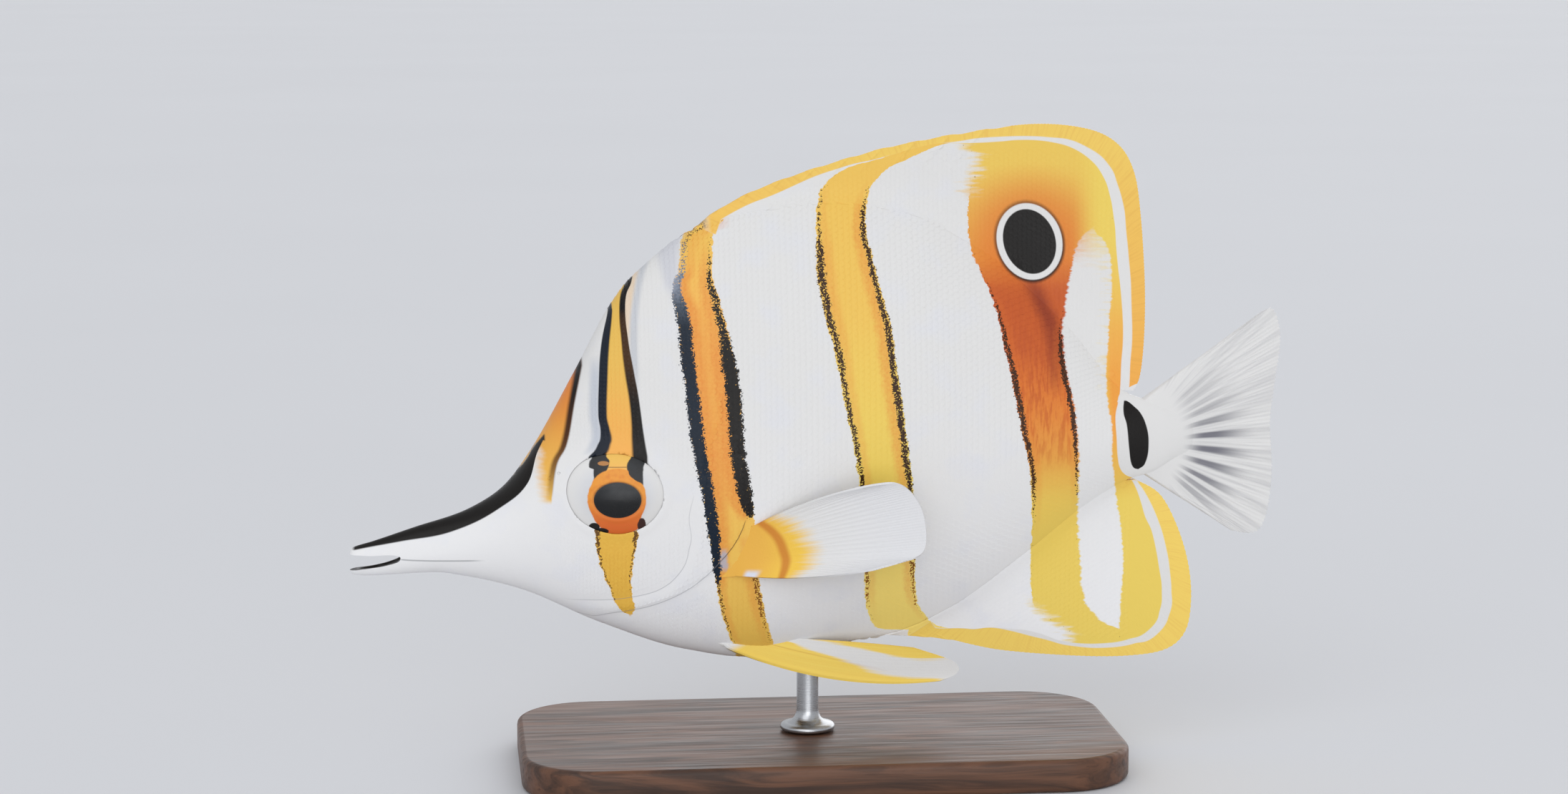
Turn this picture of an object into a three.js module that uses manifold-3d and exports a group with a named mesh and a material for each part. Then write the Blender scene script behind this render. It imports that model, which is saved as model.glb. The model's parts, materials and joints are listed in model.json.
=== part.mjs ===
// A copperband butterflyfish at life size, held over a flat base by one short rod.
// Millimetres, +Z up. The fish faces -X, and its left side faces -Y.
// The origin is the middle of the base's underside.
import * as THREE from "three";
import { mergeVertices } from "three/addons/utils/BufferGeometryUtils.js";
import Module from "manifold-3d";

const wasm = await Module();
wasm.setup();

// Driving dimensions of the fish. Heights are measured from its long axis, through the tail stalk.
const AXIS_HEIGHT = 60;
const SNOUT_TIP = -85.5;
const MOUTH_CORNER = -76;
const EYE_X = -37.3;
const NAPE = -22.5;
const ANAL_ORIGIN = 13;
const STALK_START = 56.5;
const STALK_END = 66;
const TAIL_TIP = 85.5;
const FIN_ROOT_HALF = 1.2;
const FIN_EDGE_HALF = 0.3;

// The stand.
const BASE = { length: 110, width: 56, thickness: 6, corner: 14, bevel: 1 };
const ROD = { x: -2, radius: 2, footRadius: 5, footHeight: 4, top: 26 };

// Neighbours keep this gap, and a cut between two pieces has this width.
const GAP = 0.3;
// Cut surfaces are thinned out by at most this much.
const SMOOTHING = 0.05;
// The body's pieces, from the front to the rear.
const BODY_NAMES = ["lower_jaw", "snout", "head", "torso", "tail_stalk"];

// Smooth curve through [x, value] pairs that never overshoots them.
function profile(points) {
  const steps = points.slice(1).map((p, i) => {
    const width = p[0] - points[i][0];
    return { width, slope: (p[1] - points[i][1]) / width };
  });
  const tangents = points.map((_, i) => {
    const before = steps[Math.max(i - 1, 0)].slope;
    const after = steps[Math.min(i, steps.length - 1)].slope;
    return before * after <= 0 ? 0 : (2 * before * after) / (before + after);
  });
  return (x) => {
    let i = 0;
    while (i < steps.length - 1 && x > points[i + 1][0]) i += 1;
    const { width } = steps[i];
    const t = THREE.MathUtils.clamp((x - points[i][0]) / width, 0, 1);
    const rest = 1 - t;
    const start = rest * rest * ((1 + 2 * t) * points[i][1] + t * width * tangents[i]);
    const end = t * t * ((1 + 2 * rest) * points[i + 1][1] - rest * width * tangents[i + 1]);
    return start + end;
  };
}

// The fleshy body, without its fins: its upper and lower edges, its widest line and its half width.
const backLine = profile([
  [SNOUT_TIP, -18.8],
  [-84.4, -18.1],
  [-81, -17.1],
  [-73, -14.5],
  [-65.5, -12.2],
  [-60.3, -9.6],
  [-57.2, -7.2],
  [-52.5, -1],
  [-44.6, 13],
  [-38, 25.2],
  [-34.2, 30.1],
  [NAPE, 38.9],
  [-14, 41.6],
  [2, 43.5],
  [15, 41.8],
  [30, 34.2],
  [45, 21],
  [STALK_START, 8.2],
  [61, 6.4],
  [STALK_END, 4.6],
]);
const bellyLine = profile([
  [SNOUT_TIP, -22.8],
  [-84.2, -23.3],
  [-82, -23.5],
  [-70, -23.1],
  [-65, -23.8],
  [-55, -26.3],
  [-40, -33],
  [-25, -38.2],
  [-13, -40],
  [0, -38.4],
  [ANAL_ORIGIN, -36.2],
  [24, -31.6],
  [38, -21.6],
  [50, -12.2],
  [STALK_START + 1, -8],
  [61.5, -6.9],
  [STALK_END, -4.8],
]);
const widestLine = profile([
  [SNOUT_TIP, -20.9],
  [MOUTH_CORNER, -20],
  [-65, -18.4],
  [-57, -15.6],
  [-48, -11],
  [EYE_X, -7.7],
  [-25, -6],
  [0, -2.4],
  [30, 0.4],
  [STALK_END, -0.2],
]);
const halfWidth = profile([
  [SNOUT_TIP, 0.8],
  [-84, 1.9],
  [-82, 1.8],
  [-79, 2.1],
  [MOUTH_CORNER, 2.5],
  [-66, 3.7],
  [-58, 5.2],
  [-50, 7.1],
  [EYE_X, 9.2],
  [-25, 10.1],
  [-12, 10.4],
  [5, 9.8],
  [30, 7.2],
  [45, 4.9],
  [STALK_START, 3.1],
  [STALK_END, 1.7],
]);
// Where a fin stands on the body, the body ends in a narrow flat and not in a round edge.
const backFlat = profile([[-30, 0], [NAPE + 2, FIN_ROOT_HALF], [STALK_END, FIN_ROOT_HALF]]);
const bellyFlat = profile([[4, 0], [ANAL_ORIGIN + 3, FIN_ROOT_HALF], [STALK_END, FIN_ROOT_HALF]]);
// A round edge has a fullness of 1, and the wedge that carries a fin a higher one.
const backFullness = profile([[-34, 1], [-8, 1.6], [50, 1.6], [STALK_END, 1]]);
const bellyFullness = profile([[-10, 1], [25, 1.6], [50, 1.6], [STALK_END, 1]]);

// The body's side at a turn from -90 degrees, its lower edge, to 90 degrees, its upper one.
function bodyPoint(x, turn, side, grow) {
  const rising = turn > 0;
  const middle = widestLine(x);
  const reach = rising ? backLine(x) - middle : middle - bellyLine(x);
  const flat = rising ? backFlat(x) : bellyFlat(x);
  const fullness = rising ? backFullness(x) : bellyFullness(x);
  const bulge = Math.max(Math.cos(turn), 0) ** fullness;
  const half = flat + (halfWidth(x) - flat) * bulge + grow * Math.min(1, 2 * bulge);
  const z = middle + Math.sin(turn) * (reach + Math.max(grow, 0));
  return new THREE.Vector3(x, side * half, z);
}

// Evenly spaced values from one number to another, both included.
function spread(from, to, count) {
  return Array.from({ length: count + 1 }, (_, i) => from + ((to - from) * i) / count);
}

// A closed mesh from two matching grids of points, the near face and the far one.
// Both faces are split alike, and the four borders are closed by strips.
function closedGrid(near, far) {
  const rows = near.length;
  const columns = near[0].length;
  const corners = [];
  const quad = (a, b, c, d) => corners.push(a, b, c, a, c, d);
  for (let i = 0; i < rows - 1; i += 1) {
    for (let j = 0; j < columns - 1; j += 1) {
      quad(near[i][j], near[i + 1][j], near[i + 1][j + 1], near[i][j + 1]);
      corners.push(far[i][j], far[i + 1][j + 1], far[i + 1][j]);
      corners.push(far[i][j], far[i][j + 1], far[i + 1][j + 1]);
    }
    quad(far[i][0], far[i + 1][0], near[i + 1][0], near[i][0]);
    quad(near[i][columns - 1], near[i + 1][columns - 1], far[i + 1][columns - 1], far[i][columns - 1]);
  }
  for (let j = 0; j < columns - 1; j += 1) {
    quad(near[0][j], near[0][j + 1], far[0][j + 1], far[0][j]);
    quad(far[rows - 1][j], far[rows - 1][j + 1], near[rows - 1][j + 1], near[rows - 1][j]);
  }
  return new THREE.BufferGeometry().setFromPoints(corners);
}

// A closed mesh as a solid for joining and cutting.
function solidOf(geometry) {
  const loose = geometry.index ? geometry.toNonIndexed() : geometry;
  const bare = new THREE.BufferGeometry();
  bare.setAttribute("position", loose.getAttribute("position"));
  const merged = mergeVertices(bare, 1e-3);
  const faces = [];
  for (let i = 0; i < merged.index.count; i += 3) {
    const [a, b, c] = [0, 1, 2].map((k) => merged.index.getX(i + k));
    if (a !== b && b !== c && c !== a) faces.push(a, b, c);
  }
  const build = (triVerts) =>
    new wasm.Manifold(
      new wasm.Mesh({
        numProp: 3,
        vertProperties: new Float32Array(merged.attributes.position.array),
        triVerts: new Uint32Array(triVerts),
      }),
    );
  const made = build(faces);
  return made.volume() < 0 ? build(faces.reverse()) : made;
}

// A solid's largest closed surface as a three.js geometry.
function geometryOf(solid) {
  const largest = solid.decompose().reduce((a, b) => (a.volume() > b.volume() ? a : b));
  const mesh = largest.getMesh();
  const geometry = new THREE.BufferGeometry();
  geometry.setAttribute("position", new THREE.BufferAttribute(mesh.vertProperties, 3));
  geometry.setIndex(new THREE.BufferAttribute(mesh.triVerts, 1));
  geometry.computeVertexNormals();
  return geometry;
}

// The body as one solid, its sides moved out by grow, or in where grow is negative.
function bodySolid(grow = 0) {
  const stations = [
    SNOUT_TIP,
    ...spread(SNOUT_TIP + 1.2, MOUTH_CORNER, 3),
    ...spread(-73, -59, 4),
    ...spread(-56.5, -34, 9),
    ...spread(-30.5, 52, 19),
    ...spread(STALK_START - 0.5, STALK_END + Math.max(grow, 0), 3),
  ];
  const turns = spread(-Math.PI / 2, Math.PI / 2, 20);
  const face = (side) => stations.map((x) => turns.map((t) => bodyPoint(x, t, side, grow)));
  return solidOf(closedGrid(face(-1), face(1)));
}

// The step to the left of a side-view line at each of its points, mitred so that whole edges move.
function leftSteps(points, distance, closed) {
  const count = points.length;
  const normal = (i) => {
    const [from, to] = [points[i], points[(i + 1) % count]];
    return new THREE.Vector2(from[1] - to[1], to[0] - from[0]).normalize();
  };
  return points.map((_, i) => {
    const before = normal(i > 0 ? i - 1 : closed ? count - 1 : 0);
    const after = normal(i < count - 1 || closed ? i : i - 1);
    const mean = before.clone().add(after).normalize();
    return mean.multiplyScalar(distance / Math.max(mean.dot(after), 0.3));
  });
}

// A side-view outline moved outwards. Outlines run clockwise as seen from the fish's left.
function grown(points, distance) {
  return leftSteps(points, distance, true).map((step, i) => [
    points[i][0] + step.x,
    points[i][1] + step.y,
  ]);
}

// A block with that side-view outline, from one depth to another.
function block(points, fromY, toY) {
  const shape = new THREE.Shape(points.map(([x, z]) => new THREE.Vector2(x, z)));
  const geometry = new THREE.ExtrudeGeometry(shape, { depth: toY - fromY, bevelEnabled: false });
  geometry.rotateX(Math.PI / 2);
  geometry.translate(0, toY, 0);
  return solidOf(geometry);
}

// A thin cutting sheet that stands on a line of the side view, right through the fish.
function sheetAlong(points) {
  const steps = leftSteps(points, GAP / 2, false);
  const one = points.map(([x, z], i) => [x + steps[i].x, z + steps[i].y]);
  const other = points.map(([x, z], i) => [x - steps[i].x, z - steps[i].y]);
  return block([...one, ...other.reverse()], -20, 20);
}

// A smooth line through a few side-view points, as short steps.
function smoothLine(points, steps) {
  const curve = new THREE.SplineCurve(points.map(([x, z]) => new THREE.Vector2(x, z)));
  return curve.getPoints(steps).map((p) => [p.x, p.y]);
}

// An ellipsoid, also used for the hollows that it leaves.
function ellipsoid({ centre, radii, across, down, turn = 0 }) {
  const geometry = new THREE.SphereGeometry(1, across, down);
  geometry.rotateX(Math.PI / 2);
  geometry.scale(...radii);
  geometry.rotateZ(turn);
  geometry.translate(...centre);
  return solidOf(geometry);
}

// The eye: a flattened ball that looks a little forwards, with a domed pupil and a fleshy rim round it.
const EYE_TURN = -0.08;
const EYE = { centre: [EYE_X, -7.3, -7.7], radii: [9.9, 3, 8.3], across: 26, down: 12, turn: EYE_TURN };
const PUPIL = {
  centre: [EYE_X, -9.35, -8.8],
  radii: [4.4, 1.15, 3.3],
  across: 18,
  down: 8,
  turn: EYE_TURN,
};
const RIM = { radii: [9.4, 7.9], thick: 0.75, inward: 1.35 };

function eyeball() {
  return ellipsoid(EYE).add(ellipsoid(PUPIL));
}

function eyeSocket(side) {
  const radii = EYE.radii.map((r) => r + GAP);
  return mirroredTo(side, ellipsoid({ ...EYE, radii }));
}

function eyeRim(side) {
  const ring = new THREE.TorusGeometry(1, RIM.thick / RIM.radii[1], 6, 26);
  ring.rotateX(Math.PI / 2);
  ring.scale(RIM.radii[0], RIM.radii[1], RIM.radii[1]);
  ring.rotateZ(EYE_TURN);
  ring.translate(EYE.centre[0], EYE.centre[1] - RIM.inward, EYE.centre[2]);
  return mirroredTo(side, solidOf(ring));
}

// The same solid on the left (-1) or, turned over the middle plane, on the right (1).
function mirroredTo(side, solid) {
  if (side < 0) return solid;
  const geometry = geometryOf(solid).toNonIndexed();
  const positions = geometry.getAttribute("position");
  for (let i = 0; i < positions.count; i += 1) positions.setY(i, -positions.getY(i));
  return solidOf(geometry);
}

// The open mouth in the side view, and the hollow between the jaws.
const GAPE = [
  [SNOUT_TIP - 2, -19.4],
  [-81.3, -19.6],
  [-77.2, -19.5],
  [MOUTH_CORNER, -20],
  [-76.4, -20.8],
  [-79, -21.5],
  [-81.3, -21.9],
  [-84, -22.2],
  [SNOUT_TIP - 2, -22.6],
];
const MOUTH_HOLLOW = { centre: [-80, 0, -20.7], radii: [5.6, 1.25, 2], across: 14, down: 8 };

function mouthOpening() {
  return block(GAPE, -10, 10).add(ellipsoid(MOUTH_HOLLOW));
}

// Two small nostrils before each eye.
const NOSTRILS = [
  { x: -49.2, z: -5.2, size: 0.75 },
  { x: -47.6, z: -4.2, size: 0.55 },
];

function nostrilPits(side) {
  return NOSTRILS.map(({ x, z, size }) => {
    const centre = [x, -halfWidth(x) * 0.97, z];
    return mirroredTo(side, ellipsoid({ centre, radii: [size, 1, size], across: 8, down: 6 }));
  });
}

// The lines that part the body: the gill opening, the lower jaw's top and rear, the snout's root
// and the start of the tail stalk.
const gillPoints = [
  [-27.2, 41],
  [-24.5, 37],
  [-22.6, 28],
  [-20.6, 16],
  [-18, 6],
  [-15, -4],
  [-13.9, -11],
  [-15.2, -15.2],
  [-20, -21.8],
  [-24, -25.3],
  [-29.7, -28.5],
  [-36, -30.7],
  [-41.5, -31.8],
  [-45, -34.5],
];
const gillOpening = smoothLine(gillPoints, 40);
const jawLine = [
  [-77.5, -20.1],
  [-70, -20.5],
  [-63, -20.8],
  [-61.4, -21.8],
  [-61.6, -26],
];
const snoutLine = [
  [-57, 2],
  [-57.2, -12],
  [-58.4, -30],
];
const stalkLine = [
  [57.4, 12],
  [56.4, 5],
  [56.2, 0],
  [56.6, -5],
  [57.6, -12],
];

// The gill cover: a plate between the cheek's rear edge and the gill opening.
const COVER = { raised: 0.4, depth: 1.1 };
const cheekEdge = [
  [-41.5, -27.8],
  [-35, -27.2],
  [-30, -25.8],
  [-26.2, -22.6],
  [-24.2, -17],
  [-23.8, -9],
  [-22.6, -1],
  [-20.2, 7.5],
];

// The cover's outline: forwards along its lower front, up the cheek and down the gill opening.
function coverOutline() {
  const rear = gillPoints.slice(4, 12).map(([x, z]) => [x - 0.4, z + 0.1]);
  return [...smoothLine(cheekEdge, 20), ...smoothLine(rear, 20)];
}

function gillCover() {
  const plate = bodySolid(COVER.raised).subtract(bodySolid(-COVER.depth));
  const inside = block(coverOutline(), -16, -0.6);
  return plate.intersect(inside).subtract(sheetAlong(gillOpening));
}

function coverSeat(side) {
  const outline = block(grown(coverOutline(), GAP), -16, -0.3);
  return mirroredTo(side, outline.subtract(bodySolid(-COVER.depth - GAP)));
}

// A fin: a thin sheet on its middle surface, place(u, v), with v running from the root to the margin.
// A column is { u, crest, reach }: crest is 1 on a ray and 0 on the membrane, reach where it ends.
function fin({ place, columns, rows, rootHalf, edgeHalf, ridge }) {
  const faces = { near: [], far: [] };
  spread(0, 1, rows).forEach((share, i) => {
    const line = { near: [], far: [] };
    columns.forEach(({ u, crest, reach }) => {
      const v = share * reach;
      const fade = Math.min(1, v / 0.12) * (1 - 0.55 * v);
      const half = THREE.MathUtils.lerp(rootHalf, edgeHalf, v ** 0.7) + ridge * crest * fade;
      const point = place(u, v);
      const step = 0.01;
      const along = place(u, Math.min(v + step, 1)).sub(place(u, Math.max(v - step, 0)));
      const across = place(Math.min(u + step, 1), v).sub(place(Math.max(u - step, 0), v));
      const normal = along.cross(across).normalize().multiplyScalar(half);
      line.near.push(point.clone().add(normal));
      line.far.push(point.clone().sub(normal));
    });
    faces.near[i] = line.near;
    faces.far[i] = line.far;
  });
  return solidOf(closedGrid(faces.near, faces.far));
}

// Columns of a fin with soft rays: a ray, a membrane, a ray and so on, with a finely scalloped margin.
function softColumns(rays, scallop) {
  return spread(0, 1, 2 * rays).map((u, j) => ({ u, crest: j % 2, reach: j % 2 ? 1 : 1 - scallop }));
}

// Columns of a spiny fin: the membrane falls away behind each spine's tip.
function spinyColumns(spines, notch) {
  const columns = [{ u: 0, crest: 0.6, reach: 1 }];
  for (let k = 0; k < spines; k += 1) {
    const at = (share) => (k + share) / spines;
    columns.push({ u: at(0.22), crest: 1, reach: 1 });
    columns.push({ u: at(0.5), crest: 0.1, reach: 1 - notch });
    columns.push({ u: at(1), crest: 0.1, reach: 1 - notch * 0.35 });
  }
  return columns;
}

// A stretch of a side-view curve, from one share of its length to another.
function stretch(points, from, to) {
  const curve = new THREE.SplineCurve(points.map(([x, z]) => new THREE.Vector2(x, z)));
  curve.arcLengthDivisions = 400;
  return (u) => curve.getPointAt(THREE.MathUtils.lerp(from, to, u));
}

// The middle surface of an unpaired fin, flat in the fish's middle plane.
function flatFin(root, margin) {
  return (u, v) => {
    const a = root(u);
    const b = margin(u);
    return new THREE.Vector3(a.x + (b.x - a.x) * v, 0, a.y + (b.y - a.y) * v);
  };
}

// A fin's root runs along an edge of the body, one gap outside it.
function rootAlong(edge, fromX, toX, outward) {
  return spread(fromX, toX, 18).map((x) => {
    const slope = (edge(x + 0.5) - edge(x - 0.5)) * outward;
    const length = Math.hypot(slope, 1);
    const clear = GAP + 0.05;
    return [x - (slope * clear) / length, edge(x) + (outward * clear) / length];
  });
}

const dorsalMargin = [
  [-19.8, 41.3],
  [-13, 45.1],
  [-3, 48.9],
  [10, 52.6],
  [25, 55.6],
  [38.5, 57.3],
  [48.5, 56.5],
  [54.4, 53.8],
  [57.6, 48.8],
  [59, 41],
  [60, 28],
  [60, 18],
  [59.2, 11],
  [57.4, 8.7],
];
const analMargin = [
  [14.6, -36.5],
  [24, -37.6],
  [34, -39.8],
  [48, -41.2],
  [58, -41.4],
  [65, -40.3],
  [68.6, -37],
  [69.6, -31],
  [68.9, -24],
  [66.6, -16.8],
  [63, -11.4],
  [58.3, -8.5],
];
// The share of the dorsal fin's length that has spines; the rest has soft rays.
const SPINY_SHARE = 0.46;
const ANAL_SPINY_SHARE = 0.14;
const SPLIT = 0.0015;

const dorsalRoot = rootAlong(backLine, NAPE + 0.5, STALK_START - 0.3, 1);
const analRoot = rootAlong(bellyLine, ANAL_ORIGIN, STALK_START + 0.6, -1);

function medianFin(root, margin, from, to, columns, ridge) {
  return fin({
    place: flatFin(stretch(root, from, to), stretch(margin, from, to)),
    columns,
    rows: 5,
    rootHalf: FIN_ROOT_HALF,
    edgeHalf: FIN_EDGE_HALF,
    ridge,
  });
}

// The tail fin fans out from an arc round the end of the stalk.
const tailRoot = [
  [60.6, 7.2],
  [63.6, 5.6],
  [65.6, 2.8],
  [65.9, -0.2],
  [65.6, -3.2],
  [63.8, -6],
  [61, -7.8],
];
const tailMargin = [
  [80.5, 21.6],
  [83.6, 23.2],
  [TAIL_TIP - 0.5, 21],
  [TAIL_TIP, 16.6],
  [84.6, 9],
  [83.9, 2],
  [84.4, -6],
  [84, -12.6],
  [82.8, -17.2],
  [80.8, -18.7],
  [77, -18.2],
];

function tailFin() {
  const place = flatFin(stretch(tailRoot, 0, 1), stretch(tailMargin, 0, 1));
  const columns = softColumns(16, 0.02);
  return fin({ place, columns, rows: 6, rootHalf: 1.5, edgeHalf: FIN_EDGE_HALF, ridge: 0.35 })
    .subtract(bodySolid(GAP));
}

// A paired fin of the left side: side-view root and margin, and the distance from the middle plane.
function pairedFin({ root, margin, rootY, marginY, bow, rays, rows, rootHalf, ridge, scallop }) {
  const rootAt = stretch(root, 0, 1);
  const marginAt = stretch(margin, 0, 1);
  const place = (u, v) => {
    const a = rootAt(u);
    const b = marginAt(u);
    const arch = 4 * v * (1 - v);
    const x = a.x + (b.x - a.x) * v;
    const z = a.y + (b.y - a.y) * v + THREE.MathUtils.lerp(bow[0], bow[1], u) * arch;
    const depth = (ends) => THREE.MathUtils.lerp(ends[0], ends[1], u);
    const y = THREE.MathUtils.lerp(depth(rootY), depth(marginY), v ** 0.85);
    return new THREE.Vector3(x, y, z);
  };
  const columns = softColumns(rays, scallop);
  return fin({ place, columns, rows, rootHalf, edgeHalf: FIN_EDGE_HALF, ridge });
}

function pectoralFin() {
  return pairedFin({
    root: [
      [-14.6, -15],
      [-15.2, -19],
      [-15.9, -23.2],
    ],
    margin: [
      [7.5, -5.4],
      [11.5, -5.1],
      [14.2, -6.6],
      [16.2, -9.6],
      [17, -13],
      [17, -16.4],
      [15.8, -18.2],
      [13, -19.1],
      [7.5, -20.5],
    ],
    rootY: [-8.2, -8.2],
    marginY: [-18.5, -19.5],
    bow: [1.1, -0.8],
    rays: 13,
    rows: 6,
    rootHalf: 1.1,
    ridge: 0.22,
    scallop: 0.012,
  }).subtract(bodySolid(GAP));
}

function pelvicFin() {
  return pairedFin({
    root: [
      [-17.5, -37.6],
      [-14.5, -36.6],
      [-10, -36],
    ],
    margin: [
      [21.6, -44.4],
      [24.6, -43.2],
      [25.5, -42],
      [24.6, -40.8],
      [22, -39.4],
      [17, -37.8],
    ],
    rootY: [-3.4, -2.2],
    marginY: [-10, -5.2],
    bow: [-1.7, 0.9],
    rays: 6,
    rows: 8,
    rootHalf: 1.2,
    ridge: 0.3,
    scallop: 0.015,
  }).subtract(bodySolid(GAP));
}

// The base plate with rounded corners and a small bevel.
function basePlate() {
  const { length, width, thickness, corner, bevel } = BASE;
  const [x, y] = [length / 2 - bevel, width / 2 - bevel];
  const outline = new THREE.Shape();
  outline.moveTo(x, -y + corner);
  outline.absarc(x - corner, y - corner, corner, 0, Math.PI / 2);
  outline.absarc(corner - x, y - corner, corner, Math.PI / 2, Math.PI);
  outline.absarc(corner - x, corner - y, corner, Math.PI, 1.5 * Math.PI);
  outline.absarc(x - corner, corner - y, corner, 1.5 * Math.PI, 2 * Math.PI);
  const geometry = new THREE.ExtrudeGeometry(outline, {
    depth: thickness - 2 * bevel,
    curveSegments: 5,
    bevelSize: bevel,
    bevelThickness: bevel,
    bevelSegments: 1,
  });
  geometry.translate(0, 0, bevel);
  return solidOf(geometry);
}

// The rod with its flared foot, cut to the belly that it holds. Its heights are from the floor.
function supportRod() {
  const foot = BASE.thickness + GAP;
  const line = [
    [0, foot],
    [ROD.footRadius, foot],
    [ROD.footRadius, foot + 0.9],
    [ROD.footRadius * 0.62, foot + 1.8],
    [ROD.radius, foot + ROD.footHeight],
    [ROD.radius, ROD.top],
    [0, ROD.top],
  ].map(([r, z]) => new THREE.Vector2(r, z));
  const geometry = new THREE.LatheGeometry(line, 24);
  geometry.rotateX(Math.PI / 2);
  geometry.translate(ROD.x, 0, -AXIS_HEIGHT);
  return solidOf(geometry).subtract(bodySolid(GAP));
}

// The body parted by thin cuts into its five pieces, from the jaws to the tail stalk.
function bodyPieces() {
  const sides = [-1, 1];
  const lines = [gillOpening, jawLine, snoutLine, stalkLine];
  const cuts = [mouthOpening(), ...lines.map(sheetAlong)];
  sides.forEach((side) => cuts.push(eyeSocket(side), coverSeat(side), ...nostrilPits(side)));
  const rimmed = sides.reduce((body, side) => body.add(eyeRim(side)), bodySolid());
  const parted = cuts.reduce((body, cut) => body.subtract(cut), rimmed);
  const pieces = parted.asOriginal().simplify(SMOOTHING).decompose();
  const middleX = (piece) => piece.boundingBox().min[0] + piece.boundingBox().max[0];
  return pieces
    .sort((a, b) => b.volume() - a.volume())
    .slice(0, BODY_NAMES.length)
    .sort((a, b) => middleX(a) - middleX(b));
}

// Colours of the living fish and of the stand.
const finish = (color, roughness, metalness = 0) =>
  new THREE.MeshStandardMaterial({ color, roughness, metalness });
const pearl = finish("#e6e5e2", 0.45);
const orange = finish("#e8a33c", 0.5);
const yellow = finish("#ecc255", 0.5);
const clear = finish("#dcdde0", 0.4);
const eyeBlack = finish("#1b1a19", 0.15);
const walnut = finish("#4b3524", 0.55);
const steel = finish("#b9bbbd", 0.3, 1);

const fish = new THREE.Group();
fish.name = "fish";
fish.position.z = AXIS_HEIGHT;

function place(name, solid, material, group = fish) {
  const mesh = new THREE.Mesh(geometryOf(solid), material);
  mesh.name = name;
  group.add(mesh);
  return mesh;
}

// A left piece and its mirror image on the right.
function placePair(name, solid, material) {
  place(`${name}_left`, solid, material);
  place(`${name}_right`, solid, material).scale.y = -1;
}

bodyPieces().forEach((piece, i) => place(BODY_NAMES[i], piece, pearl));
placePair("gill_cover", gillCover(), pearl);
placePair("eye", eyeball(), eyeBlack);

const spines = spinyColumns(9, 0.1);
const analSpines = spinyColumns(3, 0.12);
const dorsalEnds = [SPINY_SHARE - SPLIT, SPINY_SHARE + SPLIT];
const analEnds = [ANAL_SPINY_SHARE - SPLIT, ANAL_SPINY_SHARE + SPLIT];
place("dorsal_fin_spiny", medianFin(dorsalRoot, dorsalMargin, 0, dorsalEnds[0], spines, 0.5), yellow);
place("dorsal_fin_soft", medianFin(dorsalRoot, dorsalMargin, dorsalEnds[1], 1, softColumns(24, 0.02), 0.3), orange);
place("anal_fin_spiny", medianFin(analRoot, analMargin, 0, analEnds[0], analSpines, 0.5), yellow);
place("anal_fin_soft", medianFin(analRoot, analMargin, analEnds[1], 1, softColumns(19, 0.02), 0.3), yellow);
place("tail_fin", tailFin(), clear);
placePair("pectoral_fin", pectoralFin(), clear);
placePair("pelvic_fin", pelvicFin(), yellow);
place("stand_rod", supportRod(), steel);

const model = new THREE.Group();
model.name = "copperband_butterflyfish";
model.add(fish);
place("stand_base", basePlate(), walnut, model);

export default model;
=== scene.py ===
# %% [markdown]
# # A copperband butterflyfish on its stand
#
# A fish model in a museum is cast, and then its skin, scales, fins and eyes are finished by hand.
# This lesson does the same in Blender. The CAD solids give every true size, so they are loaded
# first, and each finished piece is modelled in their frame and stands in for the plain solid.

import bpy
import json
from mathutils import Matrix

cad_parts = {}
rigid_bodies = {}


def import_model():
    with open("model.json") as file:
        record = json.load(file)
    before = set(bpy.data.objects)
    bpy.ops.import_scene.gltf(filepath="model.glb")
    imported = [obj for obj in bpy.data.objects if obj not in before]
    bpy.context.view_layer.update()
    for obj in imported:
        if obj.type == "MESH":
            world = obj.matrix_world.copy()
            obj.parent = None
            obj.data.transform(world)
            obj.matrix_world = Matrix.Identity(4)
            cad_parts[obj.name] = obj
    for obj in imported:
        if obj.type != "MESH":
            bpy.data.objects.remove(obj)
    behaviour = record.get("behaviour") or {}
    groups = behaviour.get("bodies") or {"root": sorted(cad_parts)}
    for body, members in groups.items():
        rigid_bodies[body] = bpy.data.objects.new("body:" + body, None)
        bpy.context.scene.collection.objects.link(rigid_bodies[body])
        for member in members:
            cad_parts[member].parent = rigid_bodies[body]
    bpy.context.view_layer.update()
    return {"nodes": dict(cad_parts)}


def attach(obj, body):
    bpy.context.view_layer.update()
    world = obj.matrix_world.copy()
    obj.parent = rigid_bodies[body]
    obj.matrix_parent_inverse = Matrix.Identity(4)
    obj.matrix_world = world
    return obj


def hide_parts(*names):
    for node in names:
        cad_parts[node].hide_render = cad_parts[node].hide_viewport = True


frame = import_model()
print("solids:", sorted(frame["nodes"]))

# %% Libraries and lengths
import json
import math

import bmesh
import bpy
import numpy as np
from mathutils import Matrix, Vector
from mathutils.bvhtree import BVHTree

MM = 0.001
AXIS_HEIGHT = 60
FISH_TO_FRAME = Matrix.Translation((0, 0, AXIS_HEIGHT * MM)) @ Matrix.Scale(MM, 4)
STAND_TO_FRAME = Matrix.Scale(MM, 4)

# %% [markdown]
# ## The camera
#
# The picture to match looks at the fish's left side, a little from the front and from above. The
# camera goes first, because every later choice is judged through it. It aims at one point and backs
# away along the line of sight.

# %% Camera
VIEW_AZIMUTH = -6
VIEW_ELEVATION = 8
VIEW_DISTANCE = 620 * MM
VIEW_TARGET = Vector((-6.35, 0, 68)) * MM

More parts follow.
